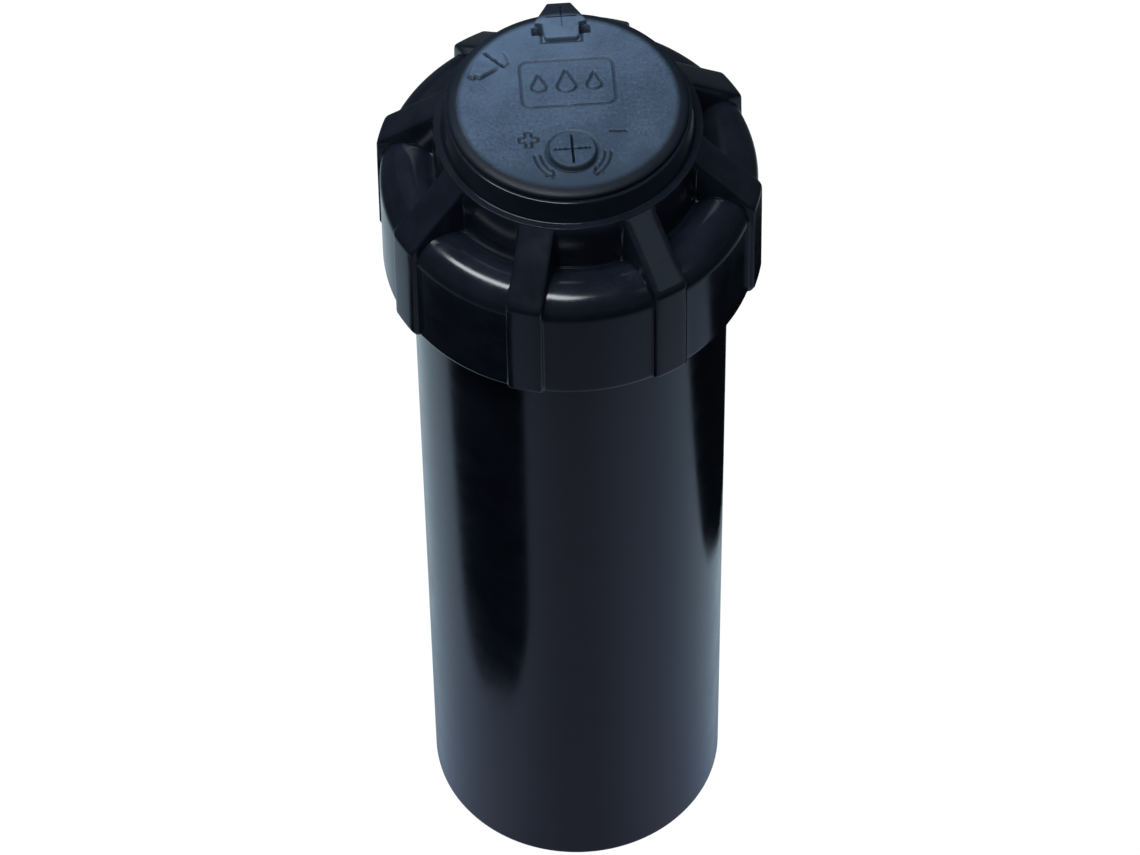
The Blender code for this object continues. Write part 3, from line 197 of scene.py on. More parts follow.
def noise(tree, place, scale, detail=2.0, roughness=0.5, distortion=0.0):
    links = [("Vector", place), ("Scale", scale), ("Detail", detail)]
    links += [("Roughness", roughness), ("Distortion", distortion)]
    return add(tree, "ShaderNodeTexNoise", links).outputs["Fac"]


def moulded_skin_group():
    """Orange-peel of a moulded surface and the slow sink marks under it."""
    number = "NodeSocketFloat"
    group, given, result = shader_group(
        "Moulded Skin",
        [("Place", "NodeSocketVector", None), ("Grain", number, 2200.0), ("Sink", number, 0.5)],
        [("Height", number), ("Variation", number)],
    )
    place = given.outputs["Place"]
    grain = noise(group, place, given.outputs["Grain"], 3.0, 0.55)
    waves = noise(group, place, 70.0, 1.0, 0.4)
    sunk = maths(group, "MULTIPLY", waves, given.outputs["Sink"])
    group.links.new(maths(group, "ADD", grain, sunk), result.inputs["Height"])
    blotch = noise(group, place, 160.0, 3.0, 0.6)
    group.links.new(spread(group, blotch, 0.3, 0.7), result.inputs["Variation"])
    return group


def handling_group():
    """Hairline scratches in two directions and faint smudges."""
    number = "NodeSocketFloat"
    group, given, result = shader_group(
        "Handling Marks",
        [("Place", "NodeSocketVector", None), ("Length", number, 1.0), ("Amount", number, 0.5)],
        [("Scratches", number), ("Smudges", number)],
    )
    place = given.outputs["Place"]
    lines = []
    for turn, stretch in ((0.5, 2600.0), (-0.7, 1900.0)):
        links = [("Vector", place), ("Rotation", (turn, 0.35, turn * 2.0))]
        links.append(("Scale", (stretch, stretch, 45.0)))
        laid = add(group, "ShaderNodeMapping", links).outputs["Vector"]
        line = noise(group, laid, given.outputs["Length"], 1.0, 0.3)
        patch = noise(group, place, 42.0 + stretch * 0.01, 1.0, 0.4)
        fine = spread(group, line, 0.70, 0.78)
        lines.append(maths(group, "MULTIPLY", fine, spread(group, patch, 0.48, 0.72)))
    both = maths(group, "MAXIMUM", lines[0], lines[1])
    shown = maths(group, "MULTIPLY", both, given.outputs["Amount"], clamp=True)
    group.links.new(shown, result.inputs["Scratches"])
    smudge = noise(group, place, 95.0, 4.0, 0.62, 0.4)
    shown = maths(group, "MULTIPLY", spread(group, smudge, 0.45, 0.75), given.outputs["Amount"])
    group.links.new(shown, result.inputs["Smudges"])
    return group


def dust_group():
    """Fine specks and a thin patchy film that settle on faces which look up."""
    number = "NodeSocketFloat"
    group, given, result = shader_group(
        "Settled Dust",
        [("Place", "NodeSocketVector", None), ("Amount", number, 0.3)],
        [("Dust", number)],
    )
    place = given.outputs["Place"]
    facing = add(group, "ShaderNodeNewGeometry").outputs["Normal"]
    split = add(group, "ShaderNodeSeparateXYZ", [("Vector", facing)])
    upward = spread(group, split.outputs["Z"], 0.15, 0.95)
    links = [("Vector", place), ("Scale", 900.0), ("Randomness", 1.0)]
    cells = add(group, "ShaderNodeTexVoronoi", links).outputs["Distance"]
    specks = spread(group, cells, 0.16, 0.05)
    chosen = spread(group, noise(group, place, 330.0, 2.0, 0.5), 0.55, 0.68)
    specks = maths(group, "MULTIPLY", specks, chosen)
    film = spread(group, noise(group, place, 120.0, 5.0, 0.65), 0.4, 0.8)
    film = maths(group, "MULTIPLY", film, 0.35)
    settled = maths(group, "MULTIPLY", maths(group, "MAXIMUM", specks, film), upward)
    shown = maths(group, "MULTIPLY", settled, given.outputs["Amount"], clamp=True)
    group.links.new(shown, result.inputs["Dust"])
    return group


def drawn_metal_group():
    """Fine lines that a die or a lathe leaves round a metal piece."""
    number = "NodeSocketFloat"
    group, given, result = shader_group(
        "Drawn Metal",
        [("Place", "NodeSocketVector", None), ("Lines", number, 1.0)],
        [("Height", number), ("Variation", number)],
    )
    links = [("Vector", given.outputs["Place"]), ("Scale", (400.0, 400.0, 5200.0))]
    laid = add(group, "ShaderNodeMapping", links).outputs["Vector"]
    lines = noise(group, laid, given.outputs["Lines"], 3.0, 0.6)
    group.links.new(lines, result.inputs["Height"])
    stain = noise(group, given.outputs["Place"], 240.0, 3.0, 0.6)
    group.links.new(spread(group, stain, 0.35, 0.75), result.inputs["Variation"])
    return group


SHARED = {}


def shared(tree, name, links):
    """Places a shared group, which is built the first time it is wanted."""
    makers = {
        "Moulded Skin": moulded_skin_group,
        "Handling Marks": handling_group,
        "Settled Dust": dust_group,
        "Drawn Metal": drawn_metal_group,
    }
    if name not in SHARED:
        SHARED[name] = makers[name]()
    return add(tree, "ShaderNodeGroup", links, node_tree=SHARED[name]).outputs


def tinted(tree, share, first, second):
    """A colour between two, by a share that changes over the surface."""
    links = [("Factor", share)]
    for socket, source in ((6, first), (7, second)):
        links.append((socket, source if hasattr(source, "is_output") else (*source, 1.0)))
    return add(tree, "ShaderNodeMix", links, data_type="RGBA").outputs[2]


def finish(name, base, second, rough, rough_spread, grain=2200.0, depth=0.02, dust=0.2,
           marks=0.4, metal=0.0, dust_colour=(0.20, 0.19, 0.17), specular=0.5):
    """A moulded or drawn finish: two close tints, grain, handling marks and dust."""
    material = bpy.data.materials.new(name)
    material.use_nodes = True
    tree = material.node_tree
    shader = tree.nodes["Principled BSDF"]
    place = add(tree, "ShaderNodeTexCoord").outputs["Object"]
    if metal:
        skin = shared(tree, "Drawn Metal", [("Place", place), ("Lines", 1.0)])
    else:
        skin = shared(tree, "Moulded Skin", [("Place", place), ("Grain", grain), ("Sink", 0.6)])
    hands = shared(tree, "Handling Marks", [("Place", place), ("Length", 1.0), ("Amount", marks)])
    settled = shared(tree, "Settled Dust", [("Place", place), ("Amount", dust)])["Dust"]
    tint = tinted(tree, skin["Variation"], base, second)
    tint = tinted(tree, maths(tree, "MULTIPLY", hands["Scratches"], 0.25), tint,
                  tuple(min(1.0, channel * 3.0 + 0.02) for channel in base))
    tint = tinted(tree, settled, tint, dust_colour)
    tree.links.new(tint, shader.inputs["Base Color"])
    worn = maths(tree, "MULTIPLY", skin["Variation"], rough_spread)
    worn = maths(tree, "ADD", worn, maths(tree, "MULTIPLY", hands["Smudges"], 0.10))
    worn = maths(tree, "ADD", worn, maths(tree, "MULTIPLY", hands["Scratches"], 0.25))
    worn = maths(tree, "ADD", worn, maths(tree, "MULTIPLY", settled, 0.35))
    tree.links.new(maths(tree, "ADD", worn, rough, clamp=True), shader.inputs["Roughness"])
    height = maths(tree, "SUBTRACT", skin["Height"], maths(tree, "MULTIPLY", hands["Scratches"], 0.8))
    links = [("Height", height), ("Strength", 1.0), ("Distance", depth * MM)]
    bump = add(tree, "ShaderNodeBump", links)
    tree.links.new(bump.outputs["Normal"], shader.inputs["Normal"])
    shader.inputs["Metallic"].default_value = metal
    shader.inputs["Specular IOR Level"].default_value = specular
    return material


def rubber_finish(name, base, second):
    """Slate rubber: mottled and satin, with painted shade on the rim and in the relief's lines,
    painted light that makes the back-left lighter and the front-right darker, and pale bloom in
    random patches.
    """
    material = finish(name, base, second, 0.46, 0.10, 1500.0, 0.035, 0.14, 0.25,
                      dust_colour=(0.12, 0.15, 0.19), specular=0.3)
    tree = material.node_tree
    shader = tree.nodes["Principled BSDF"]
    tint = shader.inputs["Base Color"].links[0].from_socket
    place = add(tree, "ShaderNodeTexCoord").outputs["Object"]
    mottle = noise(tree, place, 1700.0, 4.0, 0.7)
    tint = tinted(tree, spread(tree, mottle, 0.46, 0.80), tint,
                  tuple(channel * 1.9 for channel in base))
    tint = tinted(tree, spread(tree, mottle, 0.52, 0.22), tint,
                  tuple(channel * 0.6 for channel in base))
    # Painted light: a gradient across the disc, lighter to the back-left and darker to the
    # front-right, copies how the light falls; the noise patches on top are pale bloom.
    split = add(tree, "ShaderNodeSeparateXYZ", [("Vector", place)])
    across = maths(tree, "MULTIPLY_ADD", split.outputs["X"], -0.5)
    tree.links.new(split.outputs["Y"], across.node.inputs[2])
    patches = maths(tree, "MULTIPLY", noise(tree, place, 120.0, 3.0, 0.6), 0.6)
    worn = maths(tree, "ADD", maths(tree, "MULTIPLY", across, 16.0), patches)
    worn = maths(tree, "ADD", worn, 0.2)
    # Painted light and shade: where worn is high (back-left) the rubber is painted lighter, where it
    # is low (front-right) it is painted darker.
    tint = tinted(tree, spread(tree, worn, 0.40, 1.00), tint,
                  tuple(channel * 1.9 + 0.004 for channel in base))
    tint = tinted(tree, spread(tree, worn, 0.50, 0.10), tint,
                  tuple(channel * 0.7 for channel in base))
    # Painted shade: the rim and lip are darkened to near black, copying the shadow that falls there.
    flat = add(tree, "ShaderNodeVectorMath", [(0, place), (1, (1.0, 1.0, 0.0))], operation="MULTIPLY")
    reach = add(tree, "ShaderNodeVectorMath", [(0, flat.outputs[0])], operation="LENGTH")
    rim = spread(tree, reach.outputs["Value"], 19.0 * MM, 20.4 * MM)
    tint = tinted(tree, maths(tree, "MULTIPLY", rim, 0.93), tint,
                  tuple(channel * 0.10 for channel in base))
    # Painted shade: the relief's grooves, slits, pockets and the boss's front side are darkened to a
    # tenth of the base.
    sunk = add(tree, "ShaderNodeAttribute", attribute_name="sunk_line").outputs["Fac"]
    tint = tinted(tree, sunk, tint, tuple(channel * 0.10 for channel in base))
    tree.links.new(tint, shader.inputs["Base Color"])
    return material


def get_finish(slot):
    """The material of one of the record's slots, made the first time it is wanted."""
    name = slot + "_finish"
    if name in bpy.data.materials:
        return bpy.data.materials[name]
    look = colours()
    tints = {
        "black_plastic": (look.black, 1.5),
        "cover_rubber": (look.rubber, 1.2),
        "seal_rubber": (look.seal, 1.4),
        "white_acetal": (look.acetal, 0.93),
        "grey_plastic": (look.grey, 0.9),
        "nozzle_blue": (look.nozzle, 1.15),
        "stainless_steel": (look.steel, 0.82),
        "brass": (look.brass, 0.78),
    }
    base, share = tints[slot]
    base = tuple(base)
    second = tuple(channel * share for channel in base)
    if slot == "cover_rubber":
        return rubber_finish(name, base, second)
    given = {
        "black_plastic": dict(rough=0.15, rough_spread=0.04, grain=1500.0, depth=0.003,
                              dust=0.03, marks=0.22, dust_colour=(0.10, 0.10, 0.10)),
        "seal_rubber": dict(rough=0.55, rough_spread=0.12, depth=0.03, dust=0.15),
        "white_acetal": dict(rough=0.32, rough_spread=0.08, depth=0.008, dust=0.10, marks=0.2),
        "grey_plastic": dict(rough=0.40, rough_spread=0.10, depth=0.02, dust=0.12),
        "nozzle_blue": dict(rough=0.28, rough_spread=0.06, depth=0.006, dust=0.10),
        "stainless_steel": dict(rough=0.24, rough_spread=0.12, depth=0.004, dust=0.05,
                                metal=1.0),
        "brass": dict(rough=0.28, rough_spread=0.14, depth=0.004, dust=0.05, metal=1.0),
    }[slot]
    return finish(name, base, second, **given)


# --- Mesh helpers -----------------------------------------------------------------------------
def softened(outline, radius, steps=3, closed=True):
    """Rounds an outline's corners. A corner is (x, y), or (x, y, its own radius)."""
    result = []
    for index, corner in enumerate(outline):
        here = Vector(corner[:2])
        own = corner[2] if len(corner) > 2 else radius
        back = Vector(outline[index - 1][:2]) - here
        ahead = Vector(outline[(index + 1) % len(outline)][:2]) - here
        end = not closed and index in (0, len(outline) - 1)
        if end or own <= 0 or back.length < 1e-6 or ahead.length < 1e-6:
            result.append(tuple(here))
            continue
        half = back.angle(ahead) / 2
        if half > math.radians(87):
            result.append(tuple(here))
            continue
        reach = min(own / math.tan(half), 0.45 * back.length, 0.45 * ahead.length)
        first = here + back.normalized() * reach
        last = here + ahead.normalized() * reach
        for step in range(steps + 1):
            share = step / steps
            point = first * (1 - share) ** 2 + here * 2 * share * (1 - share) + last * share**2
            result.append(tuple(point))
    return result


def resampled(outline, count):
    """An open outline walked in equal steps."""
    points = np.array(outline, float)
    walked = np.concatenate([[0.0], np.cumsum(np.linalg.norm(np.diff(points, axis=0), axis=1))])
    stops = np.linspace(0.0, walked[-1], count)
    return np.column_stack([np.interp(stops, walked, points[:, axis]) for axis in (0, 1)])


def closed_mesh(name, points, faces):
    """A mesh from points in millimetres, with its normals outward."""
    mesh = bpy.data.meshes.new(name)
    mesh.from_pydata([tuple(point) for point in np.asarray(points, float) * MM], [], faces)
    built = bmesh.new()
    built.from_mesh(mesh)
    bmesh.ops.recalc_face_normals(built, faces=built.faces)
    built.to_mesh(mesh)
    built.free()
    return mesh


def piece_from(name, points, faces, slot, body, *nodes, sharp=34.0):
    """A closed piece from points in millimetres, riding on its body in place of its nodes."""
    mesh = closed_mesh(name, points, faces)
    mesh.shade_smooth()
    mesh.set_sharp_from_angle(angle=math.radians(sharp))
    mesh.materials.append(get_finish(slot))
    return placed(name, mesh, slot, body, *nodes)


def placed(name, mesh, slot, body, *nodes):
    piece = bpy.data.objects.new(name, mesh)
    bpy.context.scene.collection.objects.link(piece)
    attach(piece, body)
    if nodes:
        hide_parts(*nodes)
    return piece


def grid_faces(rows, columns, rows_close, offset=0):
    """Quads of a grid whose columns close round the axis."""
    faces = []
    for row in range(rows if rows_close else rows - 1):
        this, following = row * columns, ((row + 1) % rows) * columns
        for column in range(columns):
            after = (column + 1) % columns
            corners = (this + column, this + after, following + after, following + column)
            faces.append(tuple(offset + corner for corner in corners))
    return faces


def lathe(name, outline, slot, body, *nodes, segments=128, shape=None, sharp=34.0):
    """A turned piece. The outline is a closed ring, or starts and ends on the axis. shape may
    change the radius at each row and angle."""
    outline = np.array(outline, float)
    poles = outline[0][0] < 1e-9 and outline[-1][0] < 1e-9
    rows = outline[1:-1] if poles else outline
    angles = np.arange(segments) * 2 * math.pi / segments
    radii = np.repeat(rows[:, :1], segments, axis=1)
    levels = np.repeat(rows[:, 1:2], segments, axis=1)
    if shape:
        radii = shape(radii, levels, angles[None, :])
    points = np.stack([radii * np.cos(angles), radii * np.sin(angles), levels], axis=2)
    points = points.reshape(-1, 3)
    faces = grid_faces(len(rows), segments, not poles)
    if poles:
        start, end = len(points), len(points) + 1
        points = np.vstack([points, [0, 0, outline[0][1]], [0, 0, outline[-1][1]]])
        last = (len(rows) - 1) * segments
        for step in range(segments):
            after = (step + 1) % segments
            faces.append((start, after, step))
            faces.append((end, last + step, last + after))
    return piece_from(name, points, faces, slot, body, *nodes, sharp=sharp)


def thread_form(share, base=0.55, crest=0.25):
    """Height, 0 to 1, of a thread's section at a share of its pitch from the groove."""
    away = np.abs(share % 1.0 - 0.5) * 2.0
    return np.clip((base - away) / (base - crest), 0.0, 1.0)


def eased(value, low, high):
    share = np.clip((value - low) / (high - low), 0.0, 1.0)
    return share * share * (3 - 2 * share)


def levels_between(radius, low, high, step):
    """Rows up or down one radius, not longer than a step."""
    count = max(2, int(abs(high - low) / step) + 1)
    return [(radius, z) for z in np.linspace(low, high, count)]


# --- Geometry Nodes: one piece repeated round the axis -----------------------------------------
def ring_tree():
    """Repeats a piece round Z: inputs are the piece, how many, the start angle and the finish."""
    tree = bpy.data.node_groups.new("Round The Axis", "GeometryNodeTree")
    for label, kind in (("Piece", "NodeSocketObject"), ("Count", "NodeSocketInt"),
                        ("Start Angle", "NodeSocketFloat"), ("Finish", "NodeSocketMaterial")):
        tree.interface.new_socket(label, in_out="INPUT", socket_type=kind)
    tree.interface.new_socket("Geometry", in_out="OUTPUT", socket_type="NodeSocketGeometry")
    given = tree.nodes.new("NodeGroupInput").outputs
    result = tree.nodes.new("NodeGroupOutput")
    source = add(tree, "GeometryNodeObjectInfo", [("Object", given["Piece"])])
    step = maths(tree, "DIVIDE", 2 * math.pi, given["Count"])
    spots = add(tree, "GeometryNodeMeshLine", [("Count", given["Count"])], mode="OFFSET")
    spots.inputs["Offset"].default_value = (0.0, 0.0, 0.0)
    index = add(tree, "GeometryNodeInputIndex").outputs[0]
    angle = add(tree, "ShaderNodeMath", [(0, index), (1, step), (2, given["Start Angle"])],
                operation="MULTIPLY_ADD")
    turn = add(tree, "ShaderNodeCombineXYZ", [("Z", angle.outputs[0])])
    copies = add(tree, "GeometryNodeInstanceOnPoints",
                 [("Points", spots.outputs[0]), ("Instance", source.outputs["Geometry"]),
                  ("Rotation", turn.outputs[0])])
    real = add(tree, "GeometryNodeRealizeInstances", [(0, copies.outputs[0])])
    coloured = add(tree, "GeometryNodeSetMaterial",
                   [("Geometry", real.outputs[0]), ("Material", given["Finish"])])
    tree.links.new(coloured.outputs[0], result.inputs[0])
    return tree


def repeated(name, pattern, count, start, slot, body, *nodes):
    """Repeats a pattern mesh round the axis with Geometry Nodes and keeps the plain result."""
    tree = bpy.data.node_groups.get("Round The Axis") or ring_tree()
    source = bpy.data.objects.new(name + "_pattern", pattern)
    holder = bpy.data.objects.new(name + "_ring", bpy.data.meshes.new(name + "_ring"))
    for thing in (source, holder):
        bpy.context.scene.collection.objects.link(thing)
    modifier = holder.modifiers.new("Round The Axis", "NODES")
    modifier.node_group = tree
    values = {"Piece": source, "Count": count, "Start Angle": math.radians(start),
              "Finish": get_finish(slot)}
    for socket in tree.interface.items_tree:
        if socket.in_out == "INPUT":
            modifier[socket.identifier] = values[socket.name]
    bpy.context.view_layer.update()
    depsgraph = bpy.context.evaluated_depsgraph_get()
    mesh = bpy.data.meshes.new_from_object(holder.evaluated_get(depsgraph))
    holder.modifiers.remove(modifier)
    for thing in (source, holder):
        bpy.data.objects.remove(thing, do_unlink=True)
    mesh.name = name
    if not mesh.polygons:
        raise RuntimeError(name + ": nothing was repeated")
    mesh.shade_smooth()
    mesh.set_sharp_from_angle(angle=math.radians(34))
    return placed(name, mesh, slot, body, *nodes)


def block_pattern(low, high, rounding=0.3, segments=2):
    """A bevelled block between two corners, as a mesh to be repeated."""
    built = bmesh.new()
    bmesh.ops.create_cube(built, size=1.0)
    middle = [(a + b) / 2 * MM for a, b in zip(low, high)]
    size = [(b - a) * MM for a, b in zip(low, high)]
    bmesh.ops.scale(built, vec=size, verts=built.verts)
    bmesh.ops.translate(built, vec=middle, verts=built.verts)
    if rounding:
        bmesh.ops.bevel(built, geom=built.edges[:], offset=rounding * MM, segments=segments,
                        affect="EDGES", profile=0.5)
    mesh = bpy.data.meshes.new("block")
    built.to_mesh(mesh)
    built.free()
    return mesh


def refined(node, slot, rounding=0.0):
    """A CAD node with merged points, smooth turned faces and, where it fits, eased edges."""
    source = frame["nodes"][node]
    mesh = source.data.copy()
    mesh.name = node + "_finished"
    built = bmesh.new()
    built.from_mesh(mesh)
    bmesh.ops.remove_doubles(built, verts=built.verts, dist=1e-6)
    bmesh.ops.dissolve_limit(built, angle_limit=math.radians(0.4), verts=built.verts,
                             edges=built.edges)
    if rounding:
        edges = [edge for edge in built.edges
                 if len(edge.link_faces) == 2 and edge.calc_face_angle() > math.radians(40)]
        bmesh.ops.bevel(built, geom=edges, offset=rounding * MM, segments=2, affect="EDGES",
                        profile=0.5, clamp_overlap=True)
    bmesh.ops.triangulate(built, faces=[face for face in built.faces if len(face.verts) > 4])
    built.to_mesh(mesh)
    built.free()
    mesh.materials.clear()
    mesh.materials.append(get_finish(slot))
    mesh.shade_smooth()
    mesh.set_sharp_from_angle(angle=math.radians(30))
    return placed(node + "_finished", mesh, slot, body_of(source)[0], node)


# --- Cap ------------------------------------------------------------------------------------
CAP_BORE_R = 19.9
NECK_R = 22.2
NECK_FOOT_R = 22.95
COLLAR_R = 24.25
SKIRT_R = 34.3
TIER_Z = CAP_TOP - 4.7
LEDGE_Z = CAN_TOP + 0.3
CAP_THREAD_R = 31.3
THREAD_DEPTH = 1.3
CAP_RIBS = 8
RIB_HEADING = -14.0          # degrees from the front to the first rib


def cap_sections(size):
    """The cap's section between the ribs and along a rib, row by row."""
    shoulder_r = size.shoulder_radius / MM
    centre_r = SKIRT_R - shoulder_r
    shoulder_z = LEDGE_Z + 2.0
    rib_r = SKIRT_R + size.rib_proud / MM
    crown_z = TIER_Z - 0.2
    foot_z = CAP_LOW + 0.5
    neck = softened(
        [(CAP_BORE_R, CAP_TOP - 1.2), (CAP_BORE_R, CAP_TOP, 0.4), (NECK_R, CAP_TOP, 0.45),
         (NECK_FOOT_R, TIER_Z, 0.3), (COLLAR_R, TIER_Z, 0.35), (COLLAR_R, crown_z)],
        0.3, 4, closed=False)
    dome = [(centre_r + shoulder_r * math.cos(math.radians(angle)),
             shoulder_z + shoulder_r * math.sin(math.radians(angle)))
            for angle in np.linspace(132.0, 0.0, 34)]
    valley = [(COLLAR_R, crown_z), (COLLAR_R + 0.15, shoulder_z + 0.66 * shoulder_r, 0.9)]
    valley = softened(valley + dome[:1], 0.9, 5, closed=False)[:-1] + dome
    valley += [(SKIRT_R, CAP_LOW + 0.9), (SKIRT_R - 0.2, CAP_LOW + 0.25), (SKIRT_R - 0.7, CAP_LOW)]
    rib = softened(
        [(COLLAR_R, crown_z), (rib_r - 0.1, crown_z - 10.3, 2.6), (rib_r, foot_z + 0.9, 0.6),
         (rib_r - 0.55, foot_z, 0.3), (SKIRT_R - 0.7, CAP_LOW + 0.05)],
        0.6, 6, closed=False)
    rows = 120
    outer = [resampled(valley, rows), resampled(rib, rows)]
    skirt_bore = [(CAP_THREAD_R + 0.5, CAP_LOW), (CAP_THREAD_R, CAP_LOW + 0.5)]
    inside = skirt_bore + levels_between(CAP_THREAD_R, CAP_LOW + 1.2, LEDGE_Z - 1.0, 0.5)
    inside += [(CAP_THREAD_R, LEDGE_Z - 0.2), (CAP_THREAD_R - 0.2, LEDGE_Z), (27.0, LEDGE_Z),
               (CAP_BORE_R + 2.5, LEDGE_Z), (CAP_BORE_R + 2.4, LEDGE_Z + 0.2),
               (CAP_BORE_R + 2.4, LEDGE_Z + 4.0), (CAP_BORE_R, LEDGE_Z + 5.0),
               (CAP_BORE_R, LEDGE_Z + 10.0)]
    common = [np.array(neck[:-1]), np.array(inside)]
    between = np.vstack([common[0], outer[0], common[1]])
    along = np.vstack([common[0], outer[1], common[1]])
    return between, along


def cap_columns(size, between, along):
    """Distances across the rib's middle line and rib shares of one sector's columns, for every row.
    """
    half = size.rib_width / MM / 2
    height = np.linalg.norm(along - between, axis=1)
    round_true = np.minimum(size.rib_rounding / MM, height / 2.05)
    round_wide = np.maximum(round_true, 0.16)
    lean = 0.02 + 0.035 * height
    safe = np.maximum(height, 1e-6)
    columns = []
    for share in (1 / 3, 2 / 3, 1.0):
        columns.append(((half - round_wide) * share, np.ones_like(height)))
    for angle in (30.0, 60.0, 90.0):
        across = half - round_wide * (1 - math.sin(math.radians(angle)))
        drop = round_true * (1 - math.cos(math.radians(angle)))
        columns.append((across, 1 - drop / safe))
    for angle in (90.0, 60.0, 30.0, 0.0):
        across = half + lean + round_wide * (1 - math.sin(math.radians(angle)))
        rise = round_true * (1 - math.cos(math.radians(angle)))
        columns.append((across, np.clip(rise / safe, 0.0, 1.0)))
    return columns


def make_cap(size):
    between, along = cap_sections(size)
    columns = cap_columns(size, between, along)
    half_sector = math.pi / CAP_RIBS
    side = []
    for across, share in columns:
        radius = between[:, 0] + share * (along[:, 0] - between[:, 0])
        side.append((np.arcsin(across / radius), share))
    edge, _ = side[-1]
    for step in range(1, 8):
        side.append((edge + (half_sector - edge) * step / 7, np.zeros_like(edge)))
    middle = (np.zeros_like(edge), np.ones_like(edge))
    mirrored = [(-angle, share) for angle, share in reversed(side[:-1])]
    sector = mirrored + [middle] + side
    turn_angles, shares = [], []
    for rib in range(CAP_RIBS):
        heading = math.radians(RIB_HEADING - 90.0 + 360.0 * rib / CAP_RIBS)
        for angle, share in sector:
            turn_angles.append(angle + heading)
            shares.append(share)
    angles = np.stack(turn_angles, axis=1)
    share = np.stack(shares, axis=1)
    radii = between[:, :1] + share * (along[:, :1] - between[:, :1])
    levels = between[:, 1:] + share * (along[:, 1:] - between[:, 1:])
    pitch = size.thread_pitch / MM
    turned_share = (levels - CAP_LOW - 1.0) / pitch - angles / (2 * math.pi) + 0.5
    fade = eased(levels, CAP_LOW + 3.0, CAP_LOW + 4.5)
    fade = fade * (1 - eased(levels, CAN_TOP - 5.0, CAN_TOP - 3.5))
    on_thread = np.abs(radii - CAP_THREAD_R) < 1e-6
    radii = np.where(on_thread, radii - THREAD_DEPTH * fade * thread_form(turned_share), radii)
    points = np.stack([radii * np.cos(angles), radii * np.sin(angles), levels], axis=2)
    faces = grid_faces(len(between), angles.shape[1], True)
    return piece_from("cap_shell", points.reshape(-1, 3), faces, "black_plastic", "housing",
                      "body_cap", sharp=38.0)


# --- Can ------------------------------------------------------------------------------------
CAN_R_BASE, CAN_R_TOP = 28.2, 29.0
CAN_BODY_TOP = CAP_LOW + 1.1
CAN_THREAD_R = 29.3
INLET_R = 12.4
INLET_DEPTH = 15.0
FLOOR_LOW, FLOOR_TOP = 17.0, 20.0
SEAT_Z = CAN_TOP - 6.0
BASE_WEBS = 8


def make_can(size):
    bore_base, bore_top = CAN_R_BASE - 2.15, CAN_R_TOP - 2.2
    recess_r = CAN_R_BASE - 2.6
    outline = softened(
        [(recess_r, 0.0, 0.5), (CAN_R_BASE, 0.0, 1.5), (CAN_R_TOP, CAN_BODY_TOP, 0.3),
         (CAN_THREAD_R, CAN_BODY_TOP + 0.6, 0.2), (CAN_THREAD_R, CAN_BODY_TOP + 2.4)],
        0.3, 5, closed=False)[1:]
    outline += levels_between(CAN_THREAD_R, CAN_BODY_TOP + 3.0, CAN_TOP - 0.8, 0.45)
    outline += softened(
        [(CAN_THREAD_R, CAN_TOP - 0.7), (CAN_THREAD_R, CAN_TOP, 0.4),
         (CAN_THREAD_R - 1.4, CAN_TOP, 0.3), (CAN_THREAD_R - 1.4, SEAT_Z, 0.2),
         (bore_top, SEAT_Z, 0.3), (bore_base, FLOOR_TOP, 1.2), (9.0, FLOOR_TOP, 0.5),
         (9.0, INLET_DEPTH, 0.3), (INLET_R, INLET_DEPTH, 0.2), (INLET_R, INLET_DEPTH - 0.8)],
        0.3, 4, closed=False)[1:]
    outline += levels_between(INLET_R, INLET_DEPTH - 1.0, 0.9, 0.24)
    outline += softened(
        [(INLET_R, 0.8), (INLET_R + 0.6, 0.0, 0.2), (17.0, 0.0, 0.5), (17.0, FLOOR_LOW, 1.0),
         (recess_r, FLOOR_LOW, 1.5), (recess_r, 1.0)],
        0.3, 4, closed=False)
    pitch = size.thread_pitch / MM
    pipe = size.pipe_pitch / MM

    def threads(radii, levels, angles):
        round_share = angles / (2 * math.pi)
        outside = np.abs(radii - CAN_THREAD_R) < 1e-6
        fade = eased(levels, CAN_BODY_TOP + 2.6, CAN_BODY_TOP + 4.0)
        fade = fade * (1 - eased(levels, CAN_TOP - 3.5, CAN_TOP - 2.2))
        ridge = thread_form((levels - CAP_LOW - 1.0) / pitch - round_share)
        radii = np.where(outside, radii + THREAD_DEPTH * fade * ridge, radii)
        inlet = (np.abs(radii - INLET_R) < 1e-6) & (levels < INLET_DEPTH - 0.5)
        fade = eased(levels, 0.2, 1.6) * (1 - eased(levels, INLET_DEPTH - 2.4, INLET_DEPTH - 0.8))
        groove = 1 - thread_form(levels / pipe - round_share, 0.92, 0.12)
        return np.where(inlet, radii + 0.9 * fade * (groove - 0.5), radii)

    lathe("can_shell", outline, "black_plastic", "housing", "body_can", segments=192,
          shape=threads)
    web = block_pattern((16.2, -1.0, 2.0), (recess_r + 0.6, 1.0, FLOOR_LOW + 0.4), 0.35)
    repeated("base_webs", web, BASE_WEBS, 22.5, "black_plastic", "housing")
    key = block_pattern((24.8, -1.5, FLOOR_TOP - 0.8), (27.2, 1.5, SEAT_Z - 3.0), 0.3)
    repeated("guide_keys", key, 4, 0.0, "black_plastic", "housing")


# --- Rubber cover ------------------------------------------------------------------------------
COVER_R = 20.7
COVER_LIP_R = 21.6
COVER_TOP = COVER_LOW + 2.7
ARC_AT = (0.0, -11.5)


def to_segment(x, y, start, end):
    """Distance of each point to a straight line between two points."""
    line = (end[0] - start[0], end[1] - start[1])
    share = ((x - start[0]) * line[0] + (y - start[1]) * line[1]) / (line[0] ** 2 + line[1] ** 2)
    share = np.clip(share, 0.0, 1.0)
    return np.hypot(x - start[0] - share * line[0], y - start[1] - share * line[1])


def to_path(x, y, corners, closed=False):
    """Distance to a path of straight lines."""
    ends = corners[1:] + (corners[:1] if closed else [])
    lines = zip(corners if closed else corners[:-1], ends)
    return np.min([to_segment(x, y, start, end) for start, end in lines], axis=0)


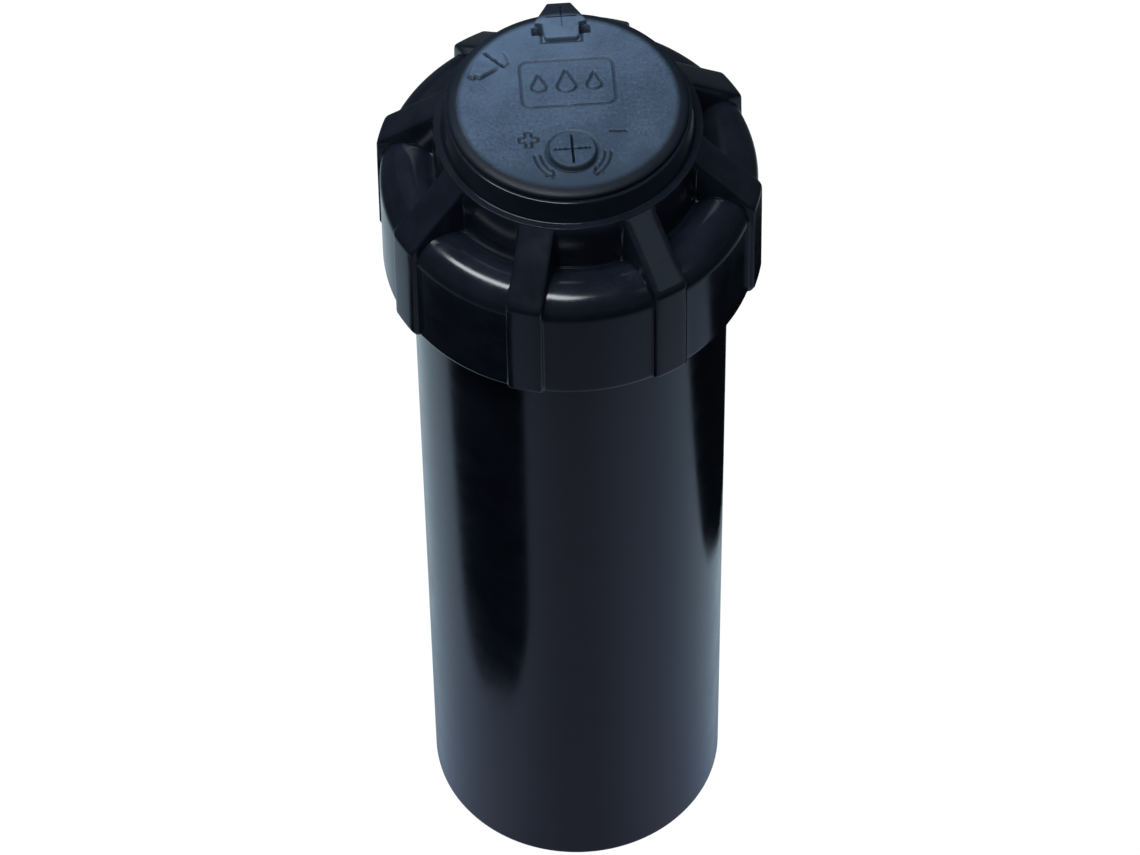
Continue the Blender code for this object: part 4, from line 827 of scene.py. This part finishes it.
def inside_path(x, y, corners):
    """True inside a closed path."""
    inside = np.zeros(x.shape, bool)
    for start, end in zip(corners, corners[1:] + corners[:1]):
        if start[1] == end[1]:
            continue
        crossing = start[0] + (y - start[1]) * (end[0] - start[0]) / (end[1] - start[1])
        inside ^= ((start[1] > y) != (end[1] > y)) & (x < crossing)
    return inside


def arc_points(centre, radius, start, end, count=12):
    return [(centre[0] + radius * math.cos(math.radians(angle)),
             centre[1] + radius * math.sin(math.radians(angle)))
            for angle in np.linspace(start, end, count)]


def rounded_box(size, centre, radius):
    half_x, half_y = size[0] / 2 - radius, size[1] / 2 - radius
    outline = []
    for x, y, start in ((half_x, half_y, 0), (-half_x, half_y, 90), (-half_x, -half_y, 180),
                        (half_x, -half_y, 270)):
        outline += arc_points((centre[0] + x, centre[1] + y), radius, start, start + 90, 7)
    return outline


def ridge(distance, width, soft=0.16):
    """1 within half a width of a line, falling to 0 over the soft edge."""
    return 1 - eased(distance, width / 2 - soft / 2, width / 2 + soft)


def drop_outline(centre, size):
    """A water drop: round below, pointed above."""
    outline = []
    for angle in np.linspace(0.0, 360.0, 24, endpoint=False):
        turn = math.radians(angle)
        narrow = math.cos(turn / 2) ** 2
        reach = size * (0.55 + 0.75 * narrow**4)
        outline.append((centre[0] + 0.62 * size * math.sin(turn) * (1 - 0.55 * narrow**3) * 1.1,
                        centre[1] + reach * math.cos(turn)))
    return outline


def cover_relief(x, y, size):
    """Height above the cover's flat top at points in the cover's own directions, and the painted
    shade that darkens its grooves, slits, pockets and the front sides of the boss and pad.
    """
    line = size.line_width / MM
    slit = size.slit_width / MM
    height = np.zeros(x.shape)
    shade = np.zeros(x.shape)

    # A sunk line; dark is the painted shade laid into the colour along it.
    def sink(distance, width, depth, dark, soft=0.16):
        nonlocal height, shade
        cut = ridge(distance, width, soft)
        height = height - depth * cut
        shade = np.maximum(shade, dark * cut)

    away = np.hypot(x - ARC_AT[0], y - ARC_AT[1])
    pad = [(-17.4, 7.6), (-16.6, 6.9), (-16.0, 7.3), (-15.3, 6.9), (-12.6, 8.6), (-12.0, 9.6),
           (-13.4, 12.6), (-15.2, 13.2)]
    edge = to_path(x, y, pad, True)
    signed = np.where(inside_path(x, y, pad), -edge, edge)
    pad_front = eased(-(y - 9.6) - 0.45 * (x + 14.2), -1.6, 1.2)
    height = np.maximum(0.78 * (1 - eased(away, 3.95, 4.45)),
                        0.55 * pad_front * (1 - eased(signed, -0.25, 0.25)))

    # Painted shade: the boss's moat, the boss wall on its front side and the pad's front edge are
    # darkened in colour, as if in shadow.
    front = eased(-(y - ARC_AT[1]) / np.maximum(away, 0.1), -0.6, 0.9)
    moat = np.exp(-(((away - 4.62) / 0.26) ** 2))
    height = height - 0.3 * moat
    wall = np.exp(-(((away - 4.5) / 0.42) ** 2))
    shade = np.maximum(np.maximum(0.45 * moat, front * wall),
                       0.95 * pad_front * np.exp(-(((signed - 0.3) / 0.28) ** 2)))
    for (reach_x, reach_y), dark in (((3.2, 0.0), 0.8), ((0.0, 3.1), 1.0)):
        ends = [(ARC_AT[0] + way * reach_x, ARC_AT[1] + way * reach_y) for way in (-1, 1)]
        sink(to_segment(x, y, *ends), slit, 0.9, dark, 0.14)

    sink(to_path(x, y, rounded_box((16.8, 10.8), (0.3, 4.6), 1.6), True), line, 0.3, 0.5)
    for offset, scale in ((-4.9, 2.1), (0.1, 2.7), (5.1, 2.1)):
        sink(to_path(x, y, drop_outline((offset, 4.0), scale), True), line, 0.32, 0.65)

    bars = rounded_box((1.1, 3.4), (-7.6, -8.2), 0.2), rounded_box((3.4, 1.1), (-7.6, -8.2), 0.2)
    insides = [inside_path(x, y, bar) for bar in bars]
    outline = np.minimum(np.where(insides[1], 9.0, to_path(x, y, bars[0], True)),
                         np.where(insides[0], 9.0, to_path(x, y, bars[1], True)))
    sink(outline, line, 0.32, 0.75)
    sink(to_segment(x, y, (7.1, -7.3), (9.8, -7.5)), 0.4, 0.35, 1.0)

    for start, end in ((184.0, 236.0), (-4.0, -56.0)):
        way = 1 if end > start else -1
        for radius, trim in ((5.8, 6.0), (6.9, 0.0)):
            arc = arc_points(ARC_AT, radius, start, end - way * trim)
            sink(to_path(x, y, arc), 0.8 * line, 0.3, 0.75)
        arc = arc_points(ARC_AT, 6.35, start, end)
        tip, along = Vector(arc[-1]), (Vector(arc[-1]) - Vector(arc[-2])).normalized()
        for lean in (142.0, -142.0):
            barb = tip + Matrix.Rotation(math.radians(lean), 2) @ along * 1.5
            sink(to_segment(x, y, tuple(tip), tuple(barb)), 0.8 * line, 0.3, 0.75)

    sink(to_segment(x, y, (-14.1, 12.6), (-10.9, 9.2)), 0.35, 0.9, 1.0, 0.2)
    sink(to_segment(x, y, (-10.9, 9.2), (-9.9, 10.0)), 0.25, 0.2, 0.6)
    sink(to_segment(x, y, (-9.9, 10.0), (-10.6, 12.4)), 0.25, 0.2, 0.4)

    # Painted shade in a groove round the arrow tab's foot.
    foot = np.maximum(np.abs(x) - 3.4, 14.6 - y)
    round_foot = np.exp(-(((foot - 0.25) / 0.3) ** 2)) * (foot > 0)
    height = height - 0.25 * round_foot
    shade = np.maximum(shade, 0.8 * round_foot)
    # The arrow head's side pockets, sunk and filled with painted shade.
    for way in (-1, 1):
        pocket = np.maximum(np.abs(x - way * 4.3) - 0.95, np.abs(y - 17.1) - 0.9)
        hole = 1 - eased(pocket, -0.15, 0.15)
        height = height - 0.9 * hole
        shade = np.maximum(shade, 0.95 * hole)
    return height, shade


def make_cover(size):
    """The cover's disc as rings with their relief, and the arrow tab over the screw."""
    heading = math.radians(TURRET_HEADING)
    segments = 680
    flat_r = COVER_R - 1.3
    rings = np.linspace(0.6, flat_r, 124)
    angles = np.arange(segments) * 2 * math.pi / segments
    radii = np.repeat(rings[:, None], segments, axis=1)
    x, y = radii * np.cos(angles), radii * np.sin(angles)
    relief, shade = cover_relief(x, y, size)
    rim_fade = 1 - eased(radii, flat_r - 0.5, flat_r)
    top = np.stack([x, y, COVER_TOP + relief * rim_fade], axis=2)
    lip_z = COVER_LOW + 1.4
    wide, tall = COVER_LIP_R - flat_r, COVER_TOP - lip_z - 0.3
    edge = [(flat_r + wide * math.sin(math.radians(angle)),
             COVER_TOP - tall + tall * math.cos(math.radians(angle)))
            for angle in range(9, 91, 9)]
    edge += softened(
        [(COVER_LIP_R, lip_z + 0.3), (COVER_LIP_R, lip_z, 0.25), (19.4, lip_z, 0.15),
         (19.4, COVER_LOW, 0.25), (0.8, COVER_LOW)],
        0.2, 3, closed=False)[1:]
    edge = np.array(edge)
    lower = np.stack([np.outer(edge[:, 0], np.cos(angles)), np.outer(edge[:, 0], np.sin(angles)),
                      np.repeat(edge[:, 1:2], segments, axis=1)], axis=2)
    grid = np.concatenate([top, lower])
    points = grid.reshape(-1, 3)
    faces = grid_faces(len(grid), segments, False)
    middle, under = len(points), len(points) + 1
    points = np.vstack([points, [0, 0, COVER_TOP], [0, 0, COVER_LOW]])
    last = (len(grid) - 1) * segments
    for step in range(segments):
        after = (step + 1) % segments
        faces.append((middle, step, after))
        faces.append((under, last + after, last + step))
    points = points @ np.array(Matrix.Rotation(heading, 3, "Z")).T
    disc = piece_from("cover_disc", points, faces, "cover_rubber", "turret", "rubber_cover",
                      sharp=60.0)
    # The relief's painted shade rides on the disc as a point attribute that darkens the rubber's
    # colour.
    lines = np.zeros(len(points))
    lines[:shade.size] = (shade * rim_fade).reshape(-1)
    sunk = disc.data.attributes.new("sunk_line", "FLOAT", "POINT")
    sunk.data.foreach_set("value", lines)
    make_arrow_tab(size, heading)


def make_arrow_tab(size, heading):
    """The raised arrow over the break-up screw, with its key slits."""
    tip, head, foot = COVER_R + 2.1, COVER_R - 2.5, COVER_R - 6.2
    outline = softened(
        [(2.15, tip, 0.5), (-2.15, tip, 0.5), (-4.95, head, 0.5), (-3.4, head - 0.2, 0.3),
         (-3.1, foot, 0.7), (3.1, foot, 0.7), (3.4, head - 0.2, 0.3), (4.95, head, 0.5)],
        0.4, 4)
    low, high = COVER_TOP - 0.45, COVER_TOP + 1.06
    middle = Vector((sum(x for x, _ in outline), sum(y for _, y in outline))) / len(outline)
    rings = [(low, 0.0), (high - 0.45, 0.0), (high - 0.2, 0.07), (high - 0.06, 0.2), (high, 0.42)]
    points = []
    for z, inset in rings:
        for x, y in outline:
            way = middle - Vector((x, y))
            share = inset / way.length
            points.append((x + way.x * share, y + way.y * share, z))
    count = len(outline)
    faces = grid_faces(len(rings), count, False)
    faces.append(tuple(range(count)))
    faces.append(tuple((len(rings) - 1) * count + step for step in range(count)))
    solid = loose_solid("arrow_tab_blank", points, faces)
    slit = size.slit_width / MM
    centre = (0.2, 19.4)
    cutters = [((5.6, slit, 1.6), centre), ((slit, 4.8, 1.6), centre)]
    for span, (x, y) in cutters:
        half = [side / 2 for side in span]
        mesh = block_pattern((x - half[0], y - half[1], high - 0.5),
                             (x + half[0], y + half[1], high + 1.0), 0.0)
        carve(solid, mesh)
    mesh = applied(solid)
    mesh.transform(Matrix.Rotation(heading, 4, "Z"))
    mesh.materials.append(get_finish("cover_rubber"))
    mesh.shade_smooth()
    mesh.set_sharp_from_angle(angle=math.radians(50))
    placed("arrow_tab", mesh, "cover_rubber", "turret", "rubber_cover")


def loose_solid(name, points, faces):
    solid = bpy.data.objects.new(name, closed_mesh(name, points, faces))
    bpy.context.scene.collection.objects.link(solid)
    return solid


def carve(solid, mesh):
    """Takes one mesh out of a solid with a live Boolean."""
    cutter = bpy.data.objects.new(solid.name + "_cutter", mesh)
    bpy.context.scene.collection.objects.link(cutter)
    modifier = solid.modifiers.new("Carve", "BOOLEAN")
    modifier.operation = "DIFFERENCE"
    modifier.solver = "EXACT"
    modifier.object = cutter


def applied(solid):
    """The solid's mesh after its Booleans, with solid and cutters removed."""
    bpy.context.view_layer.update()
    depsgraph = bpy.context.evaluated_depsgraph_get()
    mesh = bpy.data.meshes.new_from_object(solid.evaluated_get(depsgraph))
    for modifier in list(solid.modifiers):
        bpy.data.objects.remove(modifier.object, do_unlink=True)
    bpy.data.objects.remove(solid, do_unlink=True)
    mesh.materials.clear()
    return mesh


# --- Riser stem, springs and filter ----------------------------------------------------------
STEM_R = 19.4
STEM_BORE_R = 17.4


def make_stem():
    flange_z = STEM_LOW + 1.2
    outline = softened(
        [(STEM_BORE_R, STEM_LOW, 0.3), (STEM_R, STEM_LOW, 0.4), (STEM_R, flange_z, 0.2),
         (STEM_FLANGE_R, flange_z, 0.4), (STEM_FLANGE_R, flange_z + 3.5, 0.4),
         (STEM_R, flange_z + 3.5, 0.5), (STEM_R, STEM_TOP - 2.2, 0.0),
         (STEM_R - 0.12, STEM_TOP - 2.1, 0.0), (STEM_R - 0.12, STEM_TOP - 1.7, 0.0),
         (STEM_R, STEM_TOP - 1.6, 0.0), (STEM_R, STEM_TOP, 0.3), (STEM_BORE_R, STEM_TOP, 0.3)],
        0.3, 4)

    def notches(radii, levels, angles):
        share = (np.degrees(angles) - 4.0) % 22.5
        away = np.minimum(share, 22.5 - share) * math.pi / 180 * STEM_FLANGE_R
        depth = np.sqrt(np.clip(0.7**2 - away**2, 0.0, None))
        return np.where(radii > STEM_R + 1.2, radii - depth, radii)

    lathe("stem_tube", outline, "black_plastic", "riser", "riser_stem", segments=288,
          shape=notches)


def wound(name, mean_r, wire, turns, low, high, body, node, steps=40, sides=10):
    """A compression spring with closed ends, as a round wire along its path."""
    count = turns * steps + 1
    turned_by = np.linspace(0.0, turns, count)
    share = np.clip((turned_by - 0.75) / (turns - 1.5), 0.0, 1.0)
    dead = wire * 1.02 * np.minimum(turned_by, 0.75)
    dead_top = wire * 1.02 * np.minimum(turns - turned_by, 0.75)
    level = low + dead + share * (high - low - 1.5 * wire * 1.02) + (0.75 * wire * 1.02 - dead_top)
    angle = turned_by * 2 * math.pi
    outward = np.stack([np.cos(angle), np.sin(angle), np.zeros(count)], axis=1)
    centre = outward * mean_r + np.stack([np.zeros(count), np.zeros(count), level], axis=1)
    along = np.gradient(centre, axis=0)
    along /= np.linalg.norm(along, axis=1)[:, None]
    upward = np.cross(along, outward)
    points = []
    for side in range(sides):
        turn = 2 * math.pi * side / sides
        points.append(centre + wire / 2 * (math.cos(turn) * outward + math.sin(turn) * upward))
    grid = np.stack(points, axis=1)
    faces = grid_faces(count, sides, False)
    faces.append(tuple(range(sides)))
    faces.append(tuple((count - 1) * sides + side for side in range(sides)))
    return piece_from(name, grid.reshape(-1, 3), faces, "stainless_steel", body, node)


RETRACTION_R, RETRACTION_WIRE, RETRACTION_TURNS = 22.6, 1.8, 11
BYPASS_R, BYPASS_WIRE, BYPASS_TURNS = 2.0, 0.5, 4


def make_springs():
    half = RETRACTION_WIRE / 2
    spring = wound("retraction_coil", RETRACTION_R, RETRACTION_WIRE, RETRACTION_TURNS,
                   SPRING_LOW + half, SPRING_TOP - half,
                   body_of(frame["nodes"]["retraction_spring"])[0], "retraction_spring")
    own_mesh(spring)
    half = BYPASS_WIRE / 2
    spring = wound("bypass_coil", BYPASS_R, BYPASS_WIRE, BYPASS_TURNS,
                   BYPASS_LOW + half, BYPASS_TOP - half,
                   body_of(frame["nodes"]["bypass_spring"])[0], "bypass_spring")
    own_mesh(spring)


def make_filter(size):
    """A basket frame under a fine screen of strands and rings."""
    collar_r, basket_r, top_r = 17.1, 15.8, 13.8
    collar_top = FILTER_LOW + 3.4
    rim = softened(
        [(basket_r - 1.2, FILTER_LOW, 0.2), (collar_r, FILTER_LOW, 0.4),
         (collar_r, collar_top, 0.4), (basket_r, collar_top, 0.3),
         (basket_r - 0.1, collar_top + 3.0, 0.3), (basket_r - 1.3, collar_top + 3.0, 0.3)],
        0.3, 3)
    lathe("filter_collar", rim, "grey_plastic", "riser", "filter_screen", segments=96)
    crown = softened(
        [(0.0, FILTER_TOP), (top_r, FILTER_TOP, 0.5), (top_r + 0.1, FILTER_TOP - 4.0, 0.3),
         (top_r - 1.1, FILTER_TOP - 4.0, 0.3), (top_r - 1.2, FILTER_TOP - 1.2, 0.3),
         (0.0, FILTER_TOP - 1.2)],
        0.3, 3, closed=False)
    lathe("filter_crown", crown, "grey_plastic", "riser", "filter_screen", segments=96)
    low, high = collar_top + 2.6, FILTER_TOP - 3.6
    lean = (basket_r - top_r) / (high - low)

    def leaning(mesh):
        for vertex in mesh.vertices:
            vertex.co.x -= (vertex.co.z - low * MM) * lean
        return mesh

    post = leaning(block_pattern((basket_r - 1.15, -1.1, low), (basket_r - 0.05, 1.1, high), 0.25))
    repeated("filter_posts", post, 6, 30.0, "grey_plastic", "riser")
    strand = size.strand / MM
    thread = leaning(block_pattern((basket_r - 0.9, -strand / 2, low),
                                   (basket_r - 0.9 + strand, strand / 2, high), 0.0))
    repeated("filter_strands", thread, 96, 0.0, "grey_plastic", "riser")
    points, faces = [], []
    for z in np.arange(low + 1.0, high, 1.05):
        radius = basket_r - (z - low) * lean - 0.62
        start = len(points)
        section = [(radius - strand / 2, z - strand / 2), (radius + strand / 2, z - strand / 2),
                   (radius + strand / 2, z + strand / 2), (radius - strand / 2, z + strand / 2)]
        for around, level in section:
            for angle in np.arange(72) * 2 * math.pi / 72:
                points.append((around * math.cos(angle), around * math.sin(angle), level))
        faces += grid_faces(4, 72, True, start)
    piece_from("filter_rings", points, faces, "grey_plastic", "riser")


# --- Nodes that keep their shape ---------------------------------------------------------------
KEPT_SHAPES = {
    "seal_support_ring": ("grey_plastic", 0.2),
    "riser_seal": ("seal_rubber", 0.12),
    "ratchet_ring": ("white_acetal", 0.2),
    "stator": ("white_acetal", 0.0),
    "bypass_valve": ("white_acetal", 0.15),
    "reversing_plate": ("white_acetal", 0.12),
    "trip_rod": ("stainless_steel", 0.0),
    "turbine_wheel": ("white_acetal", 0.0),
    "turbine_shaft": ("stainless_steel", 0.1),
    "turbine_pinion": ("white_acetal", 0.0),
    "gear_cluster_1": ("white_acetal", 0.0),
    "gear_cluster_2": ("white_acetal", 0.0),
    "gear_cluster_3": ("white_acetal", 0.0),
    "gearcase": ("grey_plastic", 0.0),
    "turbine_bush": ("brass", 0.12),
    "gear_spindle": ("stainless_steel", 0.1),
    "gearcase_lid": ("grey_plastic", 0.15),
    "output_seal": ("seal_rubber", 0.1),
    "output_gear": ("white_acetal", 0.0),
    "thrust_washer": ("white_acetal", 0.12),
    "turret_housing": ("black_plastic", 0.0),
    "turret_lid": ("black_plastic", 0.15),
    "nozzle": ("nozzle_blue", 0.12),
    "radius_screw": ("stainless_steel", 0.0),
    "arc_screw": ("white_acetal", 0.0),
    "arc_ring": ("grey_plastic", 0.0),
}


# --- Operators ---------------------------------------------------------------------------------
class MakeCap(bpy.types.Operator):
    """Builds the ribbed cap with its neck and thread"""
    bl_idname = "sprinkler.make_cap"
    bl_label = "Cap"

    def execute(self, context):
        make_cap(sizes())
        return {"FINISHED"}


class MakeCan(bpy.types.Operator):
    """Builds the threaded can with its inlet, base webs and guide keys"""
    bl_idname = "sprinkler.make_can"
    bl_label = "Can"

    def execute(self, context):
        make_can(sizes())
        return {"FINISHED"}


class MakeCover(bpy.types.Operator):
    """Builds the rubber cover with its raised marks and slits"""
    bl_idname = "sprinkler.make_cover"
    bl_label = "Rubber cover"

    def execute(self, context):
        make_cover(sizes())
        return {"FINISHED"}


class MakeRiser(bpy.types.Operator):
    """Builds the riser's tube and its filter"""
    bl_idname = "sprinkler.make_riser"
    bl_label = "Riser and filter"

    def execute(self, context):
        make_stem()
        make_filter(sizes())
        return {"FINISHED"}


class MakeSprings(bpy.types.Operator):
    """Winds the retraction spring and the bypass valve's spring"""
    bl_idname = "sprinkler.make_springs"
    bl_label = "Springs"

    def execute(self, context):
        make_springs()
        return {"FINISHED"}


class MakeWorks(bpy.types.Operator):
    """Finishes the turret, gears, valve, seals and screws"""
    bl_idname = "sprinkler.make_works"
    bl_label = "Turret and works"

    def execute(self, context):
        for node, (slot, rounding) in KEPT_SHAPES.items():
            refined(node, slot, rounding)
        return {"FINISHED"}


class MakeStage(bpy.types.Operator):
    """Sets the floor, the light, the reflections and the camera"""
    bl_idname = "sprinkler.make_stage"
    bl_label = "Floor, light and camera"

    def execute(self, context):
        make_stage()
        return {"FINISHED"}


# --- Stage ---------------------------------------------------------------------------------------
CAMERA_DISTANCE = 1358.0
CAMERA_LENS = 226.5
CAMERA_RISE = 52.3
CAMERA_AIM_Z = 101.8
CAMERA_ROLL = -0.83
FLOOR_Z = -0.05              # just under the base, so the two faces don't meet
FLOOR_REACH = 3000.0
WALL_R, WALL_TOP_R = 28.8, 34.3
WALL_TOP_Z = 176.0
CARD_SPARE = 1.15            # how far a card runs past the last mirrored spot
CARD_STEPS = 25


def stage_mesh(name, points, faces, material, glossy_only=False):
    mesh = bpy.data.meshes.new(name)
    mesh.from_pydata([tuple(Vector(point) * MM) for point in points], [], faces)
    mesh.materials.append(material)
    thing = bpy.data.objects.new(name, mesh)
    bpy.context.scene.collection.objects.link(thing)
    if glossy_only:
        thing.visible_camera = False
        thing.visible_diffuse = False
        thing.visible_shadow = False
        thing.visible_transmission = False
    return thing


def glow(name, value, strength):
    material = bpy.data.materials.new(name)
    material.use_nodes = True
    tree = material.node_tree
    tree.nodes.clear()
    links = [("Color", (*value, 1.0)), ("Strength", strength)]
    shine = add(tree, "ShaderNodeEmission", links)
    out = add(tree, "ShaderNodeOutputMaterial")
    tree.links.new(shine.outputs[0], out.inputs["Surface"])
    return material


def fill_ramp(ramp, stops):
    """Sets a colour ramp's stops, each a place with its red, green and blue."""
    elements = ramp.color_ramp.elements
    for index, (at, *value) in enumerate(stops):
        stop = elements[index] if index < 2 else elements.new(at)
        stop.position = at
        stop.color = (*value, 1.0)


def floor_finish():
    """A pale floor: white to the eye, softer in what the plastic mirrors."""
    material = bpy.data.materials.new("pale_floor")
    material.use_nodes = True
    tree = material.node_tree
    tree.nodes.clear()
    seen = add(tree, "ShaderNodeLightPath").outputs["Is Camera Ray"]
    white = add(tree, "ShaderNodeEmission", [("Color", (1.0, 1.0, 1.0, 1.0)), ("Strength", 1.03)])
    place = add(tree, "ShaderNodeTexCoord").outputs["Object"]
    way = add(tree, "ShaderNodeVectorMath", [(0, place)], operation="NORMALIZE").outputs[0]
    split = add(tree, "ShaderNodeSeparateXYZ", [("Vector", way)])
    back = maths(tree, "ADD", maths(tree, "MULTIPLY", split.outputs["Y"], 0.5), 0.5)
    ramp = add(tree, "ShaderNodeValToRGB", [("Fac", back)])
    stops = [(0.0, 0.19, 0.90, 1.45), (0.07, 0.27, 0.85, 1.45), (0.33, 0.36, 0.76, 1.40),
             (0.75, 0.52, 0.76, 1.22), (0.88, 0.64, 0.78, 1.15), (1.0, 0.80, 0.80, 1.12)]
    fill_ramp(ramp, [(at, value * red, value, value * blue) for at, value, red, blue in stops])
    reach = add(tree, "ShaderNodeVectorMath", [(0, place)], operation="LENGTH").outputs["Value"]
    near = spread(tree, reach, 300.0 * MM, 120.0 * MM, 0.08, 0.92)
    soft = add(tree, "ShaderNodeEmission", [("Color", ramp.outputs["Color"]), ("Strength", near)])
    mixed = add(tree, "ShaderNodeMixShader", [(0, seen), (1, soft.outputs[0]), (2, white.outputs[0])])
    out = add(tree, "ShaderNodeOutputMaterial")
    tree.links.new(mixed.outputs[0], out.inputs["Surface"])
    return material


def mirrored_spot(heading, height, radius):
    """Where on the floor the camera sees itself led by the wall at a heading and height."""
    rise = math.radians(CAMERA_RISE)
    turn = math.radians(heading)
    normal = Vector((math.sin(turn), -math.cos(turn), 0.0))
    view = Vector((0.0, -math.cos(rise), math.sin(rise)))
    ray = 2 * normal.dot(view) * normal - view
    start = normal * radius + Vector((0.0, 0.0, height))
    return start - ray * (height / ray.z)


def floor_card(name, span, top_span, low, rounded, level, material):
    """A dark card that the can mirrors between two headings, from a height upwards."""
    points = []
    shares = np.linspace(0.0, 1.0, CARD_STEPS)
    for share in shares:
        height = low + rounded * abs(2 * share - 1) ** 4
        near = mirrored_spot(span[0] + (span[1] - span[0]) * share, height, WALL_R)
        points.append((near.x, near.y, level))
    for share in shares:
        heading = top_span[0] + (top_span[1] - top_span[0]) * share
        far = mirrored_spot(heading, WALL_TOP_Z, WALL_TOP_R) * CARD_SPARE
        points.append((far.x, far.y, level))
    count = len(shares)
    faces = [(step, step + 1, count + step + 1, count + step) for step in range(count - 1)]
    stage_mesh(name, points, faces, material, glossy_only=True)


def soft_light(name, place, aim, size, power, value=(1.0, 1.0, 1.0), size_y=None):
    light = bpy.data.lights.new(name, "AREA")
    light.shape = "RECTANGLE"
    light.size = size * MM
    light.size_y = (size_y or size) * MM
    light.energy = power
    light.color = value
    lamp = bpy.data.objects.new(name, light)
    lamp.location = Vector(place) * MM
    lamp.rotation_euler = (Vector(aim) - Vector(place)).to_track_quat("-Z", "Y").to_euler()
    bpy.context.scene.collection.objects.link(lamp)
    return lamp


def make_world():
    world = bpy.data.worlds.new("studio")
    bpy.context.scene.world = world
    world.use_nodes = True
    tree = world.node_tree
    shine = tree.nodes["Background"]
    way = add(tree, "ShaderNodeTexCoord").outputs["Generated"]
    split = add(tree, "ShaderNodeSeparateXYZ", [("Vector", way)])
    ramp = add(tree, "ShaderNodeValToRGB")
    height = maths(tree, "MULTIPLY_ADD", split.outputs["Z"], 0.5)
    height.node.inputs[2].default_value = 0.5
    tree.links.new(height, ramp.inputs["Fac"])
    fill_ramp(ramp, [(at, value * 0.80, value * 0.95, value * 1.2)
                     for at, value in ((0.53, 0.05), (0.60, 0.03))])
    seen = add(tree, "ShaderNodeLightPath").outputs["Is Camera Ray"]
    mixed = add(tree, "ShaderNodeMix", [("Factor", seen)], data_type="RGBA")
    tree.links.new(ramp.outputs["Color"], mixed.inputs[6])
    mixed.inputs[7].default_value = (1.0, 1.0, 1.0, 1.0)
    tree.links.new(mixed.outputs[2], shine.inputs["Color"])
    shine.inputs["Strength"].default_value = 1.0


def make_stage():
    scene = bpy.context.scene
    scene.view_settings.view_transform = "Standard"
    make_world()
    corners = [(x * FLOOR_REACH, y * FLOOR_REACH, FLOOR_Z)
               for x, y in ((-1, -1), (1, -1), (1, 1), (-1, 1))]
    stage_mesh("floor", corners, [(0, 1, 2, 3)], floor_finish())
    dark = glow("dark_card", (0.5, 0.7, 1.0), 0.004)
    floor_card("dark_card_left", (-51.0, -19.0), (-56.0, -19.0), 38.0, 22.0, 0.5, dark)
    floor_card("dark_card_right", (58.0, 87.0), (46.0, 87.0), 66.0, 25.0, 0.8, dark)

    cool = (0.86, 0.95, 1.0)
    soft_light("over_left_soft", (-240, -245, 900), (0, 0, 178), 760, 6.0, cool, 170)
    soft_light("front_right_soft", (723, -531, 780), (0, 0, 150), 420, 0.24, (0.65, 0.85, 1.0))
    soft_light("back_soft", (-420, 760, 1000), (0, 0, 190), 800, 0.14, cool)
    fill = soft_light("top_fill", (-150, 100, 1400), (0, 0, 100), 900, 26.0, (0.9, 0.96, 1.0))
    fill.visible_glossy = False

    camera = bpy.data.cameras.new("studio_camera")
    camera.sensor_width = 36.0
    camera.lens = CAMERA_LENS
    camera.clip_end = 20.0
    camera.shift_x = -0.0023
    rise = math.radians(CAMERA_RISE)
    place = Vector((0.0, -CAMERA_DISTANCE * math.cos(rise),
                    CAMERA_AIM_Z + CAMERA_DISTANCE * math.sin(rise)))
    seat = bpy.data.objects.new("studio_camera", camera)
    seat.location = place * MM
    look = (Vector((0.0, 0.0, CAMERA_AIM_Z)) - place).to_track_quat("-Z", "Y").to_matrix()
    roll = Matrix.Rotation(math.radians(CAMERA_ROLL), 3, "Z")
    seat.rotation_euler = (look @ roll).to_euler()
    scene.collection.objects.link(seat)
    scene.camera = seat


# --- Panel and registration -----------------------------------------------------------------------
PIECES = (MakeCap, MakeCan, MakeCover, MakeRiser, MakeSprings, MakeWorks, MakeStage)


class SprinklerPanel(bpy.types.Panel):
    """Sizes, colours and pieces of the sprinkler"""
    bl_idname = "VIEW3D_PT_sprinkler"
    bl_label = "Pop-up sprinkler"
    bl_space_type = "VIEW_3D"
    bl_region_type = "UI"
    bl_category = "Sprinkler"

    def draw(self, context):
        for group in (context.scene.sprinkler_sizes, context.scene.sprinkler_colours):
            for name in group.bl_rna.properties.keys():
                if name not in ("rna_type", "name"):
                    self.layout.prop(group, name)
        for piece in PIECES:
            self.layout.operator(piece.bl_idname)


CLASSES = (SprinklerSizes, SprinklerColours, *PIECES, SprinklerPanel)


def register():
    for item in CLASSES:
        bpy.utils.register_class(item)
    bpy.types.Scene.sprinkler_sizes = bpy.props.PointerProperty(type=SprinklerSizes)
    bpy.types.Scene.sprinkler_colours = bpy.props.PointerProperty(type=SprinklerColours)


def unregister():
    del bpy.types.Scene.sprinkler_colours
    del bpy.types.Scene.sprinkler_sizes
    for item in reversed(CLASSES):
        bpy.utils.unregister_class(item)


def main():
    register()
    for piece in PIECES:
        group, name = piece.bl_idname.split(".")
        getattr(getattr(bpy.ops, group), name)()
    bpy.context.view_layer.update()


if __name__ == "__main__":
    main()
